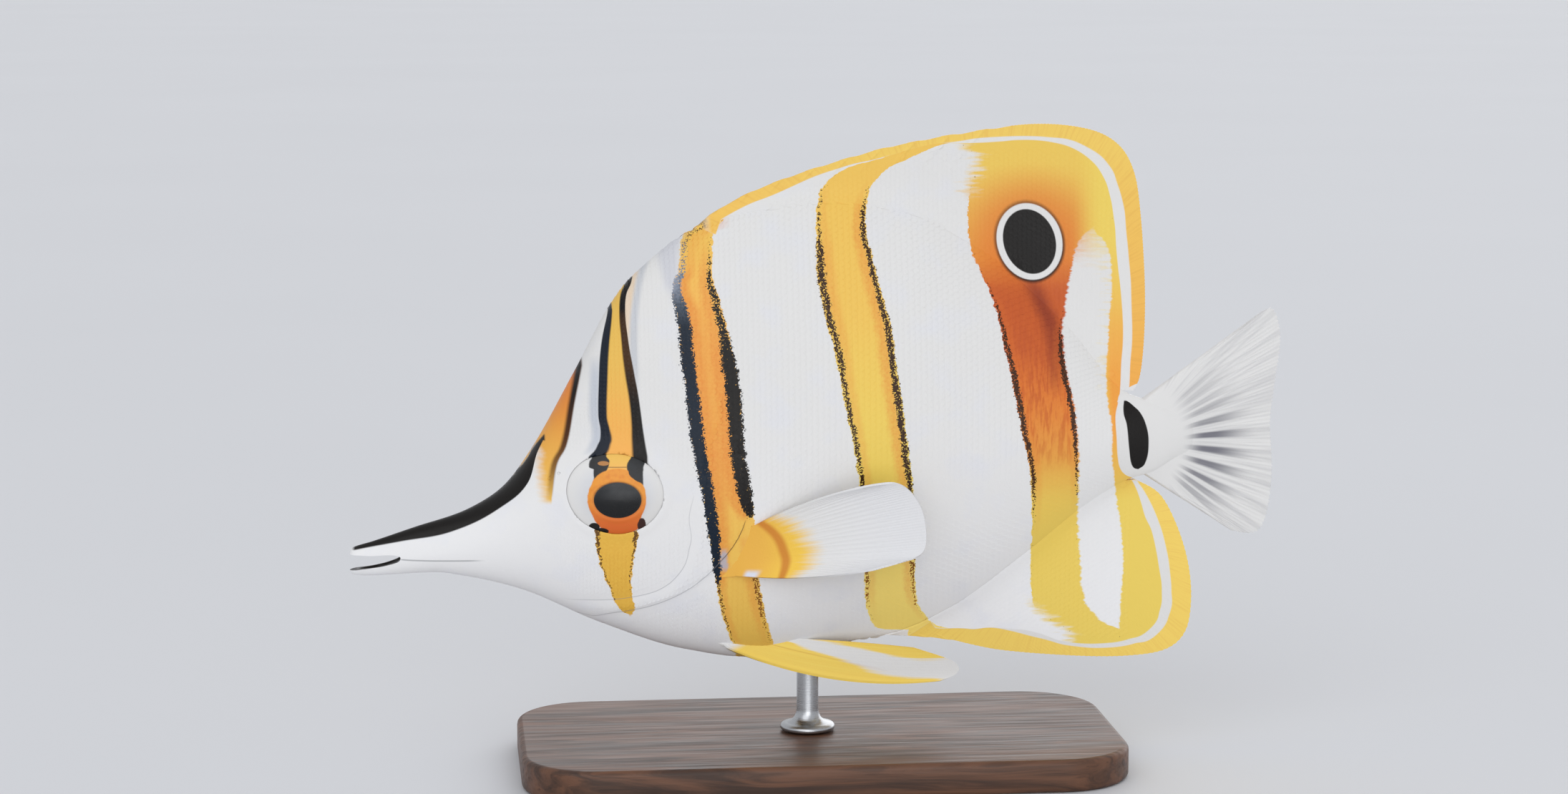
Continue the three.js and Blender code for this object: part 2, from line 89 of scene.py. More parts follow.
azimuth = math.radians(VIEW_AZIMUTH)
elevation = math.radians(VIEW_ELEVATION)
away = Vector((
    math.sin(azimuth) * math.cos(elevation),
    -math.cos(azimuth) * math.cos(elevation),
    math.sin(elevation),
))
camera = bpy.data.objects.new("camera", bpy.data.cameras.new("camera"))
camera.data.sensor_width = 36
camera.data.lens = 78.36
camera.data.clip_start = 0.01
camera.location = VIEW_TARGET + away * VIEW_DISTANCE
camera.rotation_mode = "QUATERNION"
camera.rotation_quaternion = (-away).to_track_quat("-Z", "Y")
bpy.context.scene.collection.objects.link(camera)
bpy.context.scene.camera = camera

# %% [markdown]
# ## Lines through measured points
#
# A fish is measured at a few places along its length. Two kinds of line run through such points:
# a profile, which gives one value for each place and never overshoots, for edges and widths, and a
# path, which may turn back on itself, for the outlines of fins. All are in millimetres, from the
# fish's long axis, which lies 60 mm over the floor.

# %% Profiles and paths
def profile(points):
    """A smooth function through (place, value) points."""
    places, values = np.array(points, float).T
    widths = np.diff(places)
    slopes = np.diff(values) / widths
    before = np.concatenate([slopes[:1], slopes])
    after = np.concatenate([slopes, slopes[-1:]])
    same_way = before * after > 0
    total = np.where(same_way, before + after, 1)
    tangents = np.where(same_way, 2 * before * after / total, 0)

    def value_at(x):
        i = np.clip(np.searchsorted(places, x, side="right") - 1, 0, len(widths) - 1)
        t = np.clip((x - places[i]) / widths[i], 0, 1)
        rest = 1 - t
        start = rest**2 * ((1 + 2 * t) * values[i] + t * widths[i] * tangents[i])
        end = t**2 * ((1 + 2 * rest) * values[i + 1] - rest * widths[i] * tangents[i + 1])
        return start + end

    return value_at


def path(points, steps=24):
    """A smooth line through side-view points, as a function from a share of its length to a point."""
    points = np.array(points, float)
    padded = np.vstack([points[:1], points, points[-1:]])
    t = np.linspace(0, 1, steps, endpoint=False)[:, None]
    spans = []
    for a, b, c, d in zip(padded, padded[1:], padded[2:], padded[3:]):
        bends = (2 * a - 5 * b + 4 * c - d) * t**2 + (3 * b - a - 3 * c + d) * t**3
        spans.append(b + 0.5 * ((c - a) * t + bends))
    line = np.vstack([*spans, points[-1:]])
    lengths = np.concatenate([[0], np.cumsum(np.linalg.norm(np.diff(line, axis=0), axis=1))])
    shares = lengths / lengths[-1]
    return lambda u: np.stack([np.interp(u, shares, line[:, k]) for k in (0, 1)], axis=-1)


def smooth(value, low, high):
    """Rises softly from 0 at low to 1 at high."""
    t = np.clip((value - low) / (high - low), 0, 1)
    return t * t * (3 - 2 * t)

# %% [markdown]
# ## The shape of the body
#
# The body is a stack of cross sections. Each has an upper and a lower edge, a widest line and a
# half width, which are the same measures as in the solids. Under the fins the section narrows to a
# wedge, and elsewhere its edges are round.

# %% Measures of the body
SNOUT_TIP = -85.5
SNOUT_ROUND = 0.9
STALK_END = 70
STALK_ROUND = 7
FIN_ROOT_HALF = 1.2
EYE_X = -37.3

back_line = profile([
    (-85.5, -18.8), (-84.4, -18.1), (-81, -17.1), (-73, -14.5), (-65.5, -12.2), (-60.3, -9.6),
    (-57.2, -7.2), (-52.5, -1), (-44.6, 13), (-38, 25.2), (-34.2, 30.1), (-22.5, 38.9),
    (-14, 41.6), (2, 43.5), (15, 41.8), (30, 34.2), (45, 21), (56.5, 8.2), (61, 6.4),
    (66, 4.6), (70, 3.4),
])
belly_line = profile([
    (-85.5, -22.8), (-84.2, -23.3), (-82, -23.5), (-70, -23.1), (-65, -23.8), (-55, -26.3),
    (-40, -33), (-25, -38.2), (-13, -40), (0, -38.4), (13, -36.2), (24, -31.6), (38, -21.6),
    (50, -12.2), (57.5, -8), (61.5, -6.9), (66, -4.8), (70, -3.6),
])
widest_line = profile([
    (-85.5, -20.9), (-76, -20), (-65, -18.4), (-57, -15.6), (-48, -11), (EYE_X, -7.7),
    (-25, -6), (0, -2.4), (30, 0.4), (66, -0.2),
])
half_width = profile([
    (-85.5, 0.8), (-84, 1.9), (-82, 1.8), (-79, 2.1), (-76, 2.5), (-66, 3.7), (-58, 5.2),
    (-50, 7.1), (EYE_X, 9.2), (-25, 10.1), (-12, 10.4), (5, 9.8), (30, 7.2), (45, 4.9),
    (56.5, 3.1), (66, 1.8), (70, 1.5),
])
back_flat = profile([(-30, 0), (-20.5, FIN_ROOT_HALF), (60, FIN_ROOT_HALF), (68, 0)])
belly_flat = profile([(4, 0), (16, FIN_ROOT_HALF), (60, FIN_ROOT_HALF), (68, 0)])
back_fullness = profile([(-34, 1), (-8, 1.9), (50, 1.9), (64, 1)])
belly_fullness = profile([(-10, 1), (25, 1.9), (50, 1.9), (64, 1)])

# %% [markdown]
# Some forms stand out from the plain sections: the gill cover, a plate over the gills whose rear
# edge is free, the cheek bone's edge before it, and the fleshy ring round the eye. Both bones curve
# round one point of the cheek, so their edges are given as a distance from that point at each angle.

# %% Forms on the head
CHEEK = np.array([-38, -5])
EYE_CENTRE = np.array([-36.8, -7.3, -7.7])
EYE_RADII = np.array([10.1, 3, 8.45])
EYE_TURN = -0.08
ORBIT_CENTRE = np.array([-37.55, -7.75])
ORBIT = np.array([8.8, 7.35])


def around(centre, points):
    """A profile of the distance from a centre, by the angle in degrees, through side-view points."""
    offsets = np.array(points, float) - centre
    angles = np.degrees(np.arctan2(offsets[:, 1], offsets[:, 0]))
    order = np.argsort(angles)
    return list(zip(angles[order], np.linalg.norm(offsets, axis=1)[order]))


gill_edge_points = [
    (-24.5, 37), (-22.6, 28), (-20.6, 16), (-18, 6), (-15, -4), (-13.9, -11), (-15.2, -15.2),
    (-20, -21.8), (-24, -25.3), (-29.7, -28.3), (-36, -30), (-41.5, -31.2),
]
cheek_edge_points = [
    (-46.3, -27.8), (-41.5, -27.8), (-35, -27.2), (-30, -25.8), (-26.2, -22.6), (-24.2, -17), (-23.8, -9),
    (-22.6, -1), (-20.2, 7.5),
]
gill_edge = profile(around(CHEEK, gill_edge_points))
cheek_edge = profile(around(CHEEK, cheek_edge_points))


def eye_distance(x, z):
    """How far out a place is from the eye's centre, 1 on the rim of the orbit."""
    return np.hypot((x - ORBIT_CENTRE[0]) / ORBIT[0], (z - ORBIT_CENTRE[1]) / ORBIT[1])


def relief(x, z):
    """How far the head's forms stand out from the plain section."""
    reach = np.hypot(x - CHEEK[0], z - CHEEK[1])
    angle = np.degrees(np.arctan2(z - CHEEK[1], x - CHEEK[0]))
    in_plate = smooth(angle, -112, -95) * (1 - smooth(angle, 28, 50))
    raised = smooth(reach - cheek_edge(angle), -0.2, 1.6) * smooth(gill_edge(angle) - reach, -0.2, 0.5)
    orbit = np.exp(-(((eye_distance(x, z) - 1.05) / 0.11) ** 2))
    return in_plate * 0.16 * raised + 0.14 * orbit


def body_half(x, turn):
    """Half the body's thickness at a turn from -90 degrees, its lower edge, to 90, its upper one."""
    rising = turn > 0
    flat = np.where(rising, back_flat(x), belly_flat(x))
    fullness = np.where(rising, back_fullness(x), belly_fullness(x))
    bulge = np.maximum(np.cos(turn), 0) ** fullness
    return flat + (half_width(x) - flat) * bulge


def end_round(x):
    """The rounding of the snout's tip and of the stalk's end, 1 between them."""
    tip = np.clip((x - SNOUT_TIP) / SNOUT_ROUND, 0, 1)
    tail = np.clip((STALK_END - x) / STALK_ROUND, 0, 1)
    return np.sqrt(1 - (1 - tip) ** 2), np.sqrt(1 - (1 - tail) ** 2)


def body_surface(x, turn, side):
    """Points of the skin, side -1 being the fish's left."""
    middle = widest_line(x)
    reach = np.where(turn > 0, back_line(x) - middle, middle - belly_line(x))
    tip, tail = end_round(x)
    z = middle + np.sin(turn) * reach * tip
    half = body_half(x, turn) * tip * tail
    standing = relief(x, z) * np.minimum(1, 2 * np.cos(turn))
    return np.stack([x, side * (half + standing * tip), z], axis=-1)


def turn_at(x, z):
    """The turn at which the skin has that height."""
    middle = widest_line(x)
    reach = np.where(z > middle, back_line(x) - middle, middle - belly_line(x))
    return np.arcsin(np.clip((z - middle) / reach, -1, 1))

# %% [markdown]
# ## Helpers for pieces
#
# Each piece is modelled in fish millimetres, and then its mesh, not its object, is moved into the
# frame. The object stays at the origin, so patterns on object coordinates can't slide. One helper
# does this for every piece, lets it ride on the fixed body, and hides the solids it stands for.

# %% Piece helpers
def new_object(name, bm, matrix=FISH_TO_FRAME):
    """A bmesh in millimetres becomes an object with its place in its mesh."""
    bmesh.ops.transform(bm, matrix=matrix, verts=bm.verts)
    mesh = bpy.data.meshes.new(name)
    bm.to_mesh(mesh)
    bm.free()
    made = bpy.data.objects.new(name, mesh)
    bpy.context.scene.collection.objects.link(made)
    return made


def dress(piece, materials, replaced=()):
    """Gives a finished piece its materials and its place in the model."""
    for i, material in enumerate(materials):
        if i < len(piece.data.materials):
            piece.data.materials[i] = material
        else:
            piece.data.materials.append(material)
    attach(piece, "root")
    if replaced:
        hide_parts(*replaced)
    piece.data.calc_loop_triangles()
    print(f"{piece.name}: {len(piece.data.loop_triangles)} triangles")
    return piece


def move_points(mesh, function):
    """Sends every vertex of a mesh through a function of an array of points."""
    points = np.empty(len(mesh.vertices) * 3)
    mesh.vertices.foreach_get("co", points)
    mesh.vertices.foreach_set("co", function(points.reshape(-1, 3)).ravel())
    mesh.update()


def turn_outwards(mesh):
    """Makes every face of a closed mesh point outwards."""
    bm = bmesh.new()
    bm.from_mesh(mesh)
    bmesh.ops.recalc_face_normals(bm, faces=bm.faces)
    bm.to_mesh(mesh)
    bm.free()

# %% [markdown]
# ## The skin
#
# Skin has no seams, so the jaws, head, trunk and tail stalk are one closed mesh. It starts as a
# sphere with its poles at the snout and at the tail. Each ring of the sphere becomes one cross
# section, and the rings stand closest on the head, where the finest forms are.

# %% Skin from a sphere
STATIONS = np.concatenate([
    SNOUT_TIP + np.array([0.02, 0.08, 0.18, 0.32, 0.5, 0.72, 1, 1.4]),
    np.arange(-83.6, -58, 0.52),
    np.arange(-57.7, -12, 0.42),
    np.arange(-11.5, 54, 0.85),
    np.arange(54.6, 68, 0.6),
    STALK_END - np.array([1.6, 1.1, 0.7, 0.4, 0.2, 0.08, 0.02]),
])
RING = 300
COAT_DEPTH = 0.08


def skin_from_sphere(points):
    """Ring k of the sphere goes to station k, and the way round becomes the turn."""
    ring = np.arccos(np.clip(-points[:, 0], -1, 1)) * (len(STATIONS) + 1) / math.pi
    ring = np.rint(ring).astype(int)
    pole = (ring == 0) | (ring == len(STATIONS) + 1)
    x = STATIONS[np.clip(ring - 1, 0, len(STATIONS) - 1)]
    x = np.where(ring == 0, SNOUT_TIP, np.where(ring > len(STATIONS), STALK_END, x))
    angle = np.arctan2(points[:, 2], np.abs(points[:, 1]))
    even = np.arcsin(np.clip(angle * 2 / math.pi, -1, 1))
    side = np.sign(np.where(np.abs(points[:, 1]) < 1e-6, 0, points[:, 1]))
    turn = 0.5 * angle + 0.5 * even
    made = body_surface(x, turn, side)
    made[pole, 1] = 0
    made[pole, 2] = widest_line(x[pole])
    return made


bm = bmesh.new()
bmesh.ops.create_uvsphere(bm, u_segments=RING, v_segments=len(STATIONS) + 1, radius=1)
bmesh.ops.rotate(bm, cent=(0, 0, 0), matrix=Matrix.Rotation(math.pi / 2, 3, "Y"), verts=bm.verts)
skin_mesh = bpy.data.meshes.new("skin")
bm.to_mesh(skin_mesh)
bm.free()
move_points(skin_mesh, skin_from_sphere)
turn_outwards(skin_mesh)
outward = np.empty(len(skin_mesh.vertices) * 3)
skin_mesh.vertex_normals.foreach_get("vector", outward)
move_points(skin_mesh, lambda points: points - COAT_DEPTH * outward.reshape(-1, 3))
print("skin rings", len(STATIONS), "vertices", len(skin_mesh.vertices))

# %% [markdown]
# The mouth, nostrils, gill slit and eye sockets are openings, with a real inside. They are cut with
# Boolean modifiers, which keep the edges crisp however the skin's own grid runs. The cutters are
# closed shapes: a slab in the outline of the open mouth, small balls, and thin curved blades.

# %% Cutters
def slab(outline, half):
    """A closed slab with a side-view outline, from one side of the fish to the other."""
    bm = bmesh.new()
    face = bm.faces.new([bm.verts.new((x, -half, z)) for x, z in outline])
    grown = bmesh.ops.extrude_face_region(bm, geom=[face])
    moved = [v for v in grown["geom"] if isinstance(v, bmesh.types.BMVert)]
    bmesh.ops.translate(bm, vec=(0, 2 * half, 0), verts=moved)
    bmesh.ops.recalc_face_normals(bm, faces=bm.faces)
    return bm


def ball(centre, radii, across=32, down=16, turn=0):
    """An ellipsoid whose poles look sideways."""
    bm = bmesh.new()
    bmesh.ops.create_uvsphere(bm, u_segments=across, v_segments=down, radius=1)
    bmesh.ops.rotate(bm, cent=(0, 0, 0), matrix=Matrix.Rotation(math.pi / 2, 3, "X"), verts=bm.verts)
    bmesh.ops.scale(bm, vec=radii, verts=bm.verts)
    bmesh.ops.rotate(bm, cent=(0, 0, 0), matrix=Matrix.Rotation(turn, 3, "Z"), verts=bm.verts)
    bmesh.ops.translate(bm, vec=centre, verts=bm.verts)
    return bm


def blade(points, thick, depth):
    """A thin curved sheet that stands in the skin along a side-view line, on the left."""
    line = path(points)(np.linspace(0, 1, 60))
    ahead = np.gradient(line, axis=0)
    normal = np.stack([-ahead[:, 1], ahead[:, 0]], axis=-1)
    normal *= thick / 2 / np.linalg.norm(normal, axis=1)[:, None]
    outer = 14
    bm = bmesh.new()
    bmesh.ops.create_circle(bm, cap_ends=True, segments=4, radius=1)
    corners = list(bm.verts)
    for i, (middle, shift) in enumerate(zip(line, normal)):
        if i:
            cap = next(f for f in bm.faces if set(f.verts) == set(corners))
            grown = bmesh.ops.extrude_face_region(bm, geom=[cap])["geom"]
            fresh = {v for v in grown if isinstance(v, bmesh.types.BMVert)}
            corners = [
                next(e.other_vert(v) for e in v.link_edges if e.other_vert(v) in fresh) for v in corners
            ]
        x, z = middle
        inner = body_half(x, turn_at(x, z)) + relief(x, z) - depth
        sides = (middle - shift, middle + shift, middle + shift, middle - shift)
        for vertex, place, y in zip(corners, sides, (-outer, -outer, -inner, -inner)):
            vertex.co = (place[0], y, place[1])
    bmesh.ops.recalc_face_normals(bm, faces=bm.faces)
    return bm


MOUTH_OUTLINE = [
    (-88, -19.4), (-84, -19.45), (-81.3, -19.6), (-78.6, -19.45), (-77, -19.5), (-76.1, -19.75),
    (-76, -20.1), (-76.3, -20.6), (-77.2, -21), (-79, -21.5), (-81.3, -21.9), (-84, -22.2),
    (-88, -22.6),
]
MOUTH_HOLLOW = {"centre": (-80, 0, -20.7), "radii": (5.6, 1.35, 2)}
NOSTRILS = [(-49.2, -5.2, 0.36), (-47.6, -4.2, 0.27)]
SOCKET_GAP = 0.14
slit_points = gill_edge_points[5:-1]
cheek_crease_points = cheek_edge_points[:-2]
jaw_crease_points = [(-76.2, -20.2), (-73, -20.4), (-68, -20.5), (-60.5, -20.4)]


def mirrored(bm):
    """The same shape on the fish's right."""
    bmesh.ops.scale(bm, vec=(1, -1, 1), verts=bm.verts)
    bmesh.ops.reverse_faces(bm, faces=bm.faces)
    return bm


def cutters(side_of):
    """Every cutter of one side of the head."""
    socket = [r + SOCKET_GAP for r in EYE_RADII]
    made = [ball(EYE_CENTRE, socket, across=96, down=48, turn=EYE_TURN)]
    for x, z, size in NOSTRILS:
        depth = body_half(x, turn_at(x, z))
        made.append(ball((x, -depth, z), (size, 2 * size, size), across=20, down=10))
    made.append(blade(slit_points, 0.14, 0.5))
    made.append(blade(cheek_crease_points, 0.1, 0.12))
    made.append(blade(jaw_crease_points, 0.1, 0.15))
    return [side_of(bm) for bm in made]


mouth_corner = path(MOUTH_OUTLINE)(np.linspace(0, 1, 90))
cutting = [slab(mouth_corner, 10), ball(MOUTH_HOLLOW["centre"], MOUTH_HOLLOW["radii"])]
cutting += cutters(lambda bm: bm) + cutters(mirrored)

# %% Cut the skin
skin = bpy.data.objects.new("skin", skin_mesh)
bpy.context.scene.collection.objects.link(skin)
skin_mesh.transform(FISH_TO_FRAME)
uncut = BVHTree.FromObject(skin, bpy.context.evaluated_depsgraph_get())


def cut(piece, cutter_bm):
    """Takes a closed shape out of a piece."""
    cutter = new_object("cutter", cutter_bm)
    modifier = piece.modifiers.new("cut", "BOOLEAN")
    modifier.operation = "DIFFERENCE"
    modifier.solver = "MANIFOLD"
    modifier.object = cutter
    graph = bpy.context.evaluated_depsgraph_get()
    result = bpy.data.meshes.new_from_object(piece.evaluated_get(graph))
    piece.modifiers.clear()
    piece.data = result
    bpy.data.objects.remove(cutter)


for cutter_bm in cutting:
    cut(skin, cutter_bm)
print("skin after the cuts:", len(skin.data.vertices), "vertices")

# %% [markdown]
# The mouth and the eye sockets get a near-black lining, painted shade inside the openings, with a
# moist gloss, while the fine slits and the nostrils keep the skin's colour. A face belongs to a wall if
# it lies away from the skin as it was before the cuts.

# %% Lining of the openings
WALL_DEPTH = 0.02 * MM
MOUTH_END = -75.4


def mark_walls(piece):
    """Second material on the walls of the cuts, with a sharp edge where they meet the skin."""
    bm = bmesh.new()
    bm.from_mesh(piece.data)
    walls = {}
    for face in bm.faces:
        centre = face.calc_center_median()
        walls[face] = uncut.find_nearest(centre)[3] > WALL_DEPTH
        x, z = centre.x / MM, centre.z / MM - AXIS_HEIGHT
        lined = x < MOUTH_END or eye_distance(x, z) < 1.3
        # Lined walls take the dark material: painted shade inside the mouth and the eye sockets.
        face.material_index = int(walls[face] and lined)
        face.smooth = True
    for edge in bm.edges:
        edge.smooth = len({walls[face] for face in edge.link_faces}) == 1
    bm.to_mesh(piece.data)
    bm.free()


mark_walls(skin)

# %% [markdown]
# ## Fins
#
# A fin is a thin skin over many rays. It is made as a grid that gets its thickness from solidify,
# and then each vertex is placed by two shares: u runs along the fin from its front to its rear, and
# v from its root to its margin. Soft rays split in two twice on their way out, and three times on
# the tail, so near the margin the ridges stand close together, as on the real animal.

# %% Fin rays
ROOT_DEPTH = 3
ROOT_SHARE = 0.15


def soft_rays(u, v, count, splits=2):
    """Height of the soft rays, 1 on a ray and 0 on the membrane."""
    sector = (u * count) % 1 - 0.5
    width = 0.17
    for level in range(splits):
        opening = smooth(v, 0.22 + 0.3 * level, 0.62 + 0.3 * level)
        sector = np.abs(sector) - 0.25 / 2**level * opening
        width *= 1 - 0.42 * opening
    return np.exp(-((sector / width) ** 2))


def spines(u, v, count):
    """Height of the hard spines, which taper to their tips."""
    sector = (u * count) % 1 - 0.24
    width = 0.15 * (1.1 - 0.7 * v)
    return np.exp(-((sector / width) ** 2))


def spine_margin(u, count, notch):
    """How far out the membrane reaches between the spines."""
    sector = (u * count) % 1
    return 1 - notch * smooth(sector, 0.24, 0.62) * (1 - 0.6 * smooth(sector, 0.6, 1))

# %% Fin builder
def fin(name, place, half, columns, rows, reach):
    """A closed fin. place, half and reach are functions of arrays of u and v."""
    bm = bmesh.new()
    bmesh.ops.create_grid(bm, x_segments=columns, y_segments=rows, size=0.5)
    bmesh.ops.solidify(bm, geom=bm.faces[:], thickness=1)
    mesh = bpy.data.meshes.new(name)
    bm.to_mesh(mesh)
    bm.free()
    shares = {}

    def set_out(points):
        u = points[:, 0] + 0.5
        v = (points[:, 1] + 0.5) * (1 + ROOT_SHARE) - ROOT_SHARE
        face = np.where(np.abs(points[:, 2]) < 0.5, 1, -1)
        v = np.where(v > 0, v * reach(u), v)
        step = 0.004
        along = place(u, v + step) - place(u, v - step)
        across = place(np.minimum(u + step, 1), v) - place(np.maximum(u - step, 0), v)
        normal = np.cross(along, across)
        normal /= np.linalg.norm(normal, axis=1)[:, None] + 1e-12
        shares["uv"] = np.stack([u, v, face], axis=-1)
        return place(u, v) + normal * (face * half(u, v))[:, None]

    move_points(mesh, set_out)
    placed = mesh.attributes.new("fin_place", "FLOAT_VECTOR", "POINT")
    placed.data.foreach_set("vector", shares["uv"].ravel())
    turn_outwards(mesh)
    mesh.shade_smooth()
    mesh.set_sharp_from_angle(angle=math.radians(70))
    mesh.transform(FISH_TO_FRAME)
    made = bpy.data.objects.new(name, mesh)
    bpy.context.scene.collection.objects.link(made)
    return made


def flat_place(root, margin):
    """The middle surface of an unpaired fin. Where v is negative, it lies inside the body."""
    def place(u, v):
        a = root(u)
        b = margin(u)
        way = b - a
        inwards = way / (np.linalg.norm(way, axis=1)[:, None] + 1e-9)
        depth = (ROOT_DEPTH * np.minimum(v, 0) / ROOT_SHARE)[:, None]
        side_view = a + way * np.maximum(v, 0)[:, None] + inwards * depth
        return np.stack([side_view[:, 0], np.zeros(len(u)), side_view[:, 1]], axis=-1)

    return place


def root_along(edge, from_x, to_x, outward, clear=0.1):
    """A fin's root, just outside an edge of the body."""
    x = np.linspace(from_x, to_x, 24)
    slope = (edge(x + 0.5) - edge(x - 0.5)) * outward
    length = np.hypot(slope, 1)
    return np.stack([x - slope * clear / length, edge(x) + outward * clear / length], axis=-1)


def flared(v, length, root_half, edge_half, bend=2.4):
    """Half thickness that meets the flesh in a soft curve and thins out towards the margin."""
    away = np.maximum(v, 0) * length
    return edge_half + (root_half - edge_half) * np.exp(-away / bend)

# %% [markdown]
# The dorsal fin has nine strong spines before its soft rays, and the anal fin three. In both the
# last rays stand almost upright and form the fish's tall rear edge.

# %% Dorsal and anal fins
# Share of the margin that the spines take, their number and height, and the number of soft rays.
DORSAL_FACTS = (0.46, 9, 0.12, 28)
ANAL_FACTS = (0.14, 3, 0.05, 20)

dorsal_margin = path([
    (-19.8, 41.3), (-13, 45.1), (-3, 48.9), (10, 52.7), (17.5, 54.3), (25, 55.6), (38.5, 57.3), (48.5, 56.5),
    (54.4, 53.8), (57.6, 48.8), (59, 41), (60, 28), (60, 18), (59.3, 11), (58, 8.3),
])
anal_margin = path([
    (14.6, -36.5), (24, -37.6), (34, -39.8), (48, -41.2), (58, -41.4), (65, -40.3), (68.6, -37),
    (69.6, -31), (68.9, -24), (66.6, -16.8), (63.3, -11), (58.6, -8.2),
])
dorsal_root = path(root_along(back_line, -22, 56.2, 1))
anal_root = path(root_along(belly_line, 13, 57.1, -1))


def median_fin(name, root, margin, facts, columns):
    """The dorsal or the anal fin, spines and soft rays in one piece."""
    spiny, spine_count, spine_height, ray_count = facts
    root_half = FIN_ROOT_HALF - COAT_DEPTH - 0.02

    def length(u):
        return np.linalg.norm(margin(u) - root(u), axis=-1)

    def half(u, v):
        hard = np.clip(u / spiny, 0, 1)
        soft = np.clip((u - spiny) / (1 - spiny), 0, 1)
        ridge = np.where(
            u < spiny,
            spine_height * spines(hard, v, spine_count) * smooth(v, 0.45, 0.9),
            0.02 * soft_rays(soft, v, ray_count) * smooth(v, 0.8, 0.95),
        )
        fade = 1 - smooth(v, 0.93, 1)
        return flared(v, length(u), root_half, 0.2) + ridge * np.maximum(fade, 0.25)

    def reach(u):
        hard = spine_margin(np.clip(u / spiny, 0, 1), spine_count, 0.32 / length(u))
        soft = np.clip((u - spiny) / (1 - spiny), 0, 1)
        fringe = 1 - 0.1 / length(u) * (1 - soft_rays(soft, np.ones(len(u)), ray_count))
        return np.where(u < spiny, hard, fringe)

    return fin(name, flat_place(root, margin), half, columns, 40, reach)


dorsal = median_fin("dorsal_fin", dorsal_root, dorsal_margin, DORSAL_FACTS, 760)
anal = median_fin("anal_fin", anal_root, anal_margin, ANAL_FACTS, 460)

# %% Tail fin
TAIL_RAYS = 17
tail_root = path([
    (59, 6.2), (61.6, 4.8), (63.2, 2.6), (63.5, -0.2), (63.2, -3), (61.8, -5), (59.4, -6.8),
])
tail_margin = path([
    (80.5, 21.6), (83.6, 23.2), (85, 21), (85.5, 16.6), (84.6, 9), (83.9, 2), (84.4, -6),
    (84, -12.6), (82.8, -17.2), (80.8, -18.7), (77, -18.2),
])


def tail_half(u, v):
    ridge = 0.09 * soft_rays(u, v, TAIL_RAYS, splits=3) * smooth(v, 0.25, 0.6)
    rounded = np.sqrt(1 - (1 - np.clip(np.minimum(u, 1 - u) / 0.03, 0, 1)) ** 2)
    flesh = flared(v, 22, 1.5, 0.17, bend=5) + ridge * (1 - 0.6 * smooth(v, 0.8, 1))
    return flesh * (0.1 + 0.9 * rounded)


def tail_reach(u):
    return 1 - 0.009 * (1 - soft_rays(u, np.ones(len(u)), TAIL_RAYS, splits=3))


tail = fin("tail_fan", flat_place(tail_root, tail_margin), tail_half, 540, 56, tail_reach)

# %% [markdown]
# The paired fins leave the body at an angle: the pectorals fan out behind the gill covers, and the
# pelvics trail under the belly, with a spine along their lower edge. Each is bowed like a spoon.

# %% Paired fins
def paired_place(root, margin, root_y, margin_y, bow, drop):
    """The middle surface of a paired fin of the left side, held lower by the drop past its root."""
    def place(u, v):
        a = root(u)
        b = margin(u)
        out = np.maximum(v, 0)
        way = b - a
        inwards = way / (np.linalg.norm(way, axis=1)[:, None] + 1e-9)
        depth = ROOT_DEPTH * np.minimum(v, 0) / ROOT_SHARE
        side_view = a + way * out[:, None] + inwards * depth[:, None]
        arch = (bow[0] + (bow[1] - bow[0]) * u) * 4 * out * (1 - out) - drop * (1 - (1 - out) ** 2)
        near = root_y[0] + (root_y[1] - root_y[0]) * u
        far = margin_y[0] + (margin_y[1] - margin_y[0]) * u
        y = near + (far - near) * out**0.85 - 0.25 * depth
        return np.stack([side_view[:, 0], y, side_view[:, 1] + arch], axis=-1)

    return place


def pectoral_half(u, v):
    ridge = 0.06 * soft_rays(u, v, 14) * smooth(v, 0.2, 0.5) * (1 - 0.5 * smooth(v, 0.85, 1))
    return flared(v, 30, 1.1, 0.17, bend=4) + ridge


def pelvic_half(u, v):
    spine = 0.2 * np.exp(-(((u - 0.06) / 0.05) ** 2)) * (1 - 0.75 * v)
    ridge = 0.008 * soft_rays(np.clip((u - 0.12) / 0.88, 0, 1), v, 5) * smooth(v, 0.04, 0.25)
    return flared(v, 38, 1.2, 0.18, bend=6) + (spine + ridge) * (1 - 0.6 * smooth(v, 0.9, 1))


PAIRED_FINS = {
    "pectoral_fin": {
        "root": [(-14.6, -15), (-15.2, -19), (-15.9, -23.2)],
        "margin": [
            (7.5, -5.4), (11.5, -5.1), (14.2, -6.6), (16.2, -9.6), (17, -13), (17, -16.4),
            (15.8, -18.2), (13, -19.1), (7.5, -20.5),
        ],
        "root_y": (-8.2, -8.2),
        "margin_y": (-18.5, -19.5),
        "bow": (1.1, -0.8),
        "drop": {"left": 0, "right": 0},
        "half": pectoral_half,
        "grid": (230, 48),
    },
    "pelvic_fin": {
        "root": [(-17.5, -37.6), (-14.5, -36.6), (-10, -36)],
        "margin": [
            (21.8, -44.2), (24.2, -43.3), (25.3, -42.2), (24.7, -41), (22.4, -39.8), (17, -38),
        ],
        "root_y": (-3.4, -2.2),
        "margin_y": (-5.4, -4.8),
        "bow": (-2.7, 0.35),
        "drop": {"left": 0, "right": 1.9},
        "half": pelvic_half,
        "grid": (130, 60),
    },
}


def paired_fin(name, facts, word, side):
    """One paired fin; side is -1 on the left and 1 on the right."""
    left = paired_place(
        path(facts["root"]), path(facts["margin"]), facts["root_y"], facts["margin_y"],
        facts["bow"], facts["drop"][word],
    )

    def place(u, v):
        return left(u, v) * np.array([1, -side, 1])

    columns, rows = facts["grid"]
    return fin(name, place, facts["half"], columns, rows, lambda u: np.ones(len(u)))


SIDES = {"left": -1, "right": 1}
paired = {
    f"{kind}_{word}": paired_fin(f"{kind}_{word}_rays", facts, word, side)
    for kind, facts in PAIRED_FINS.items()
    for word, side in SIDES.items()
}

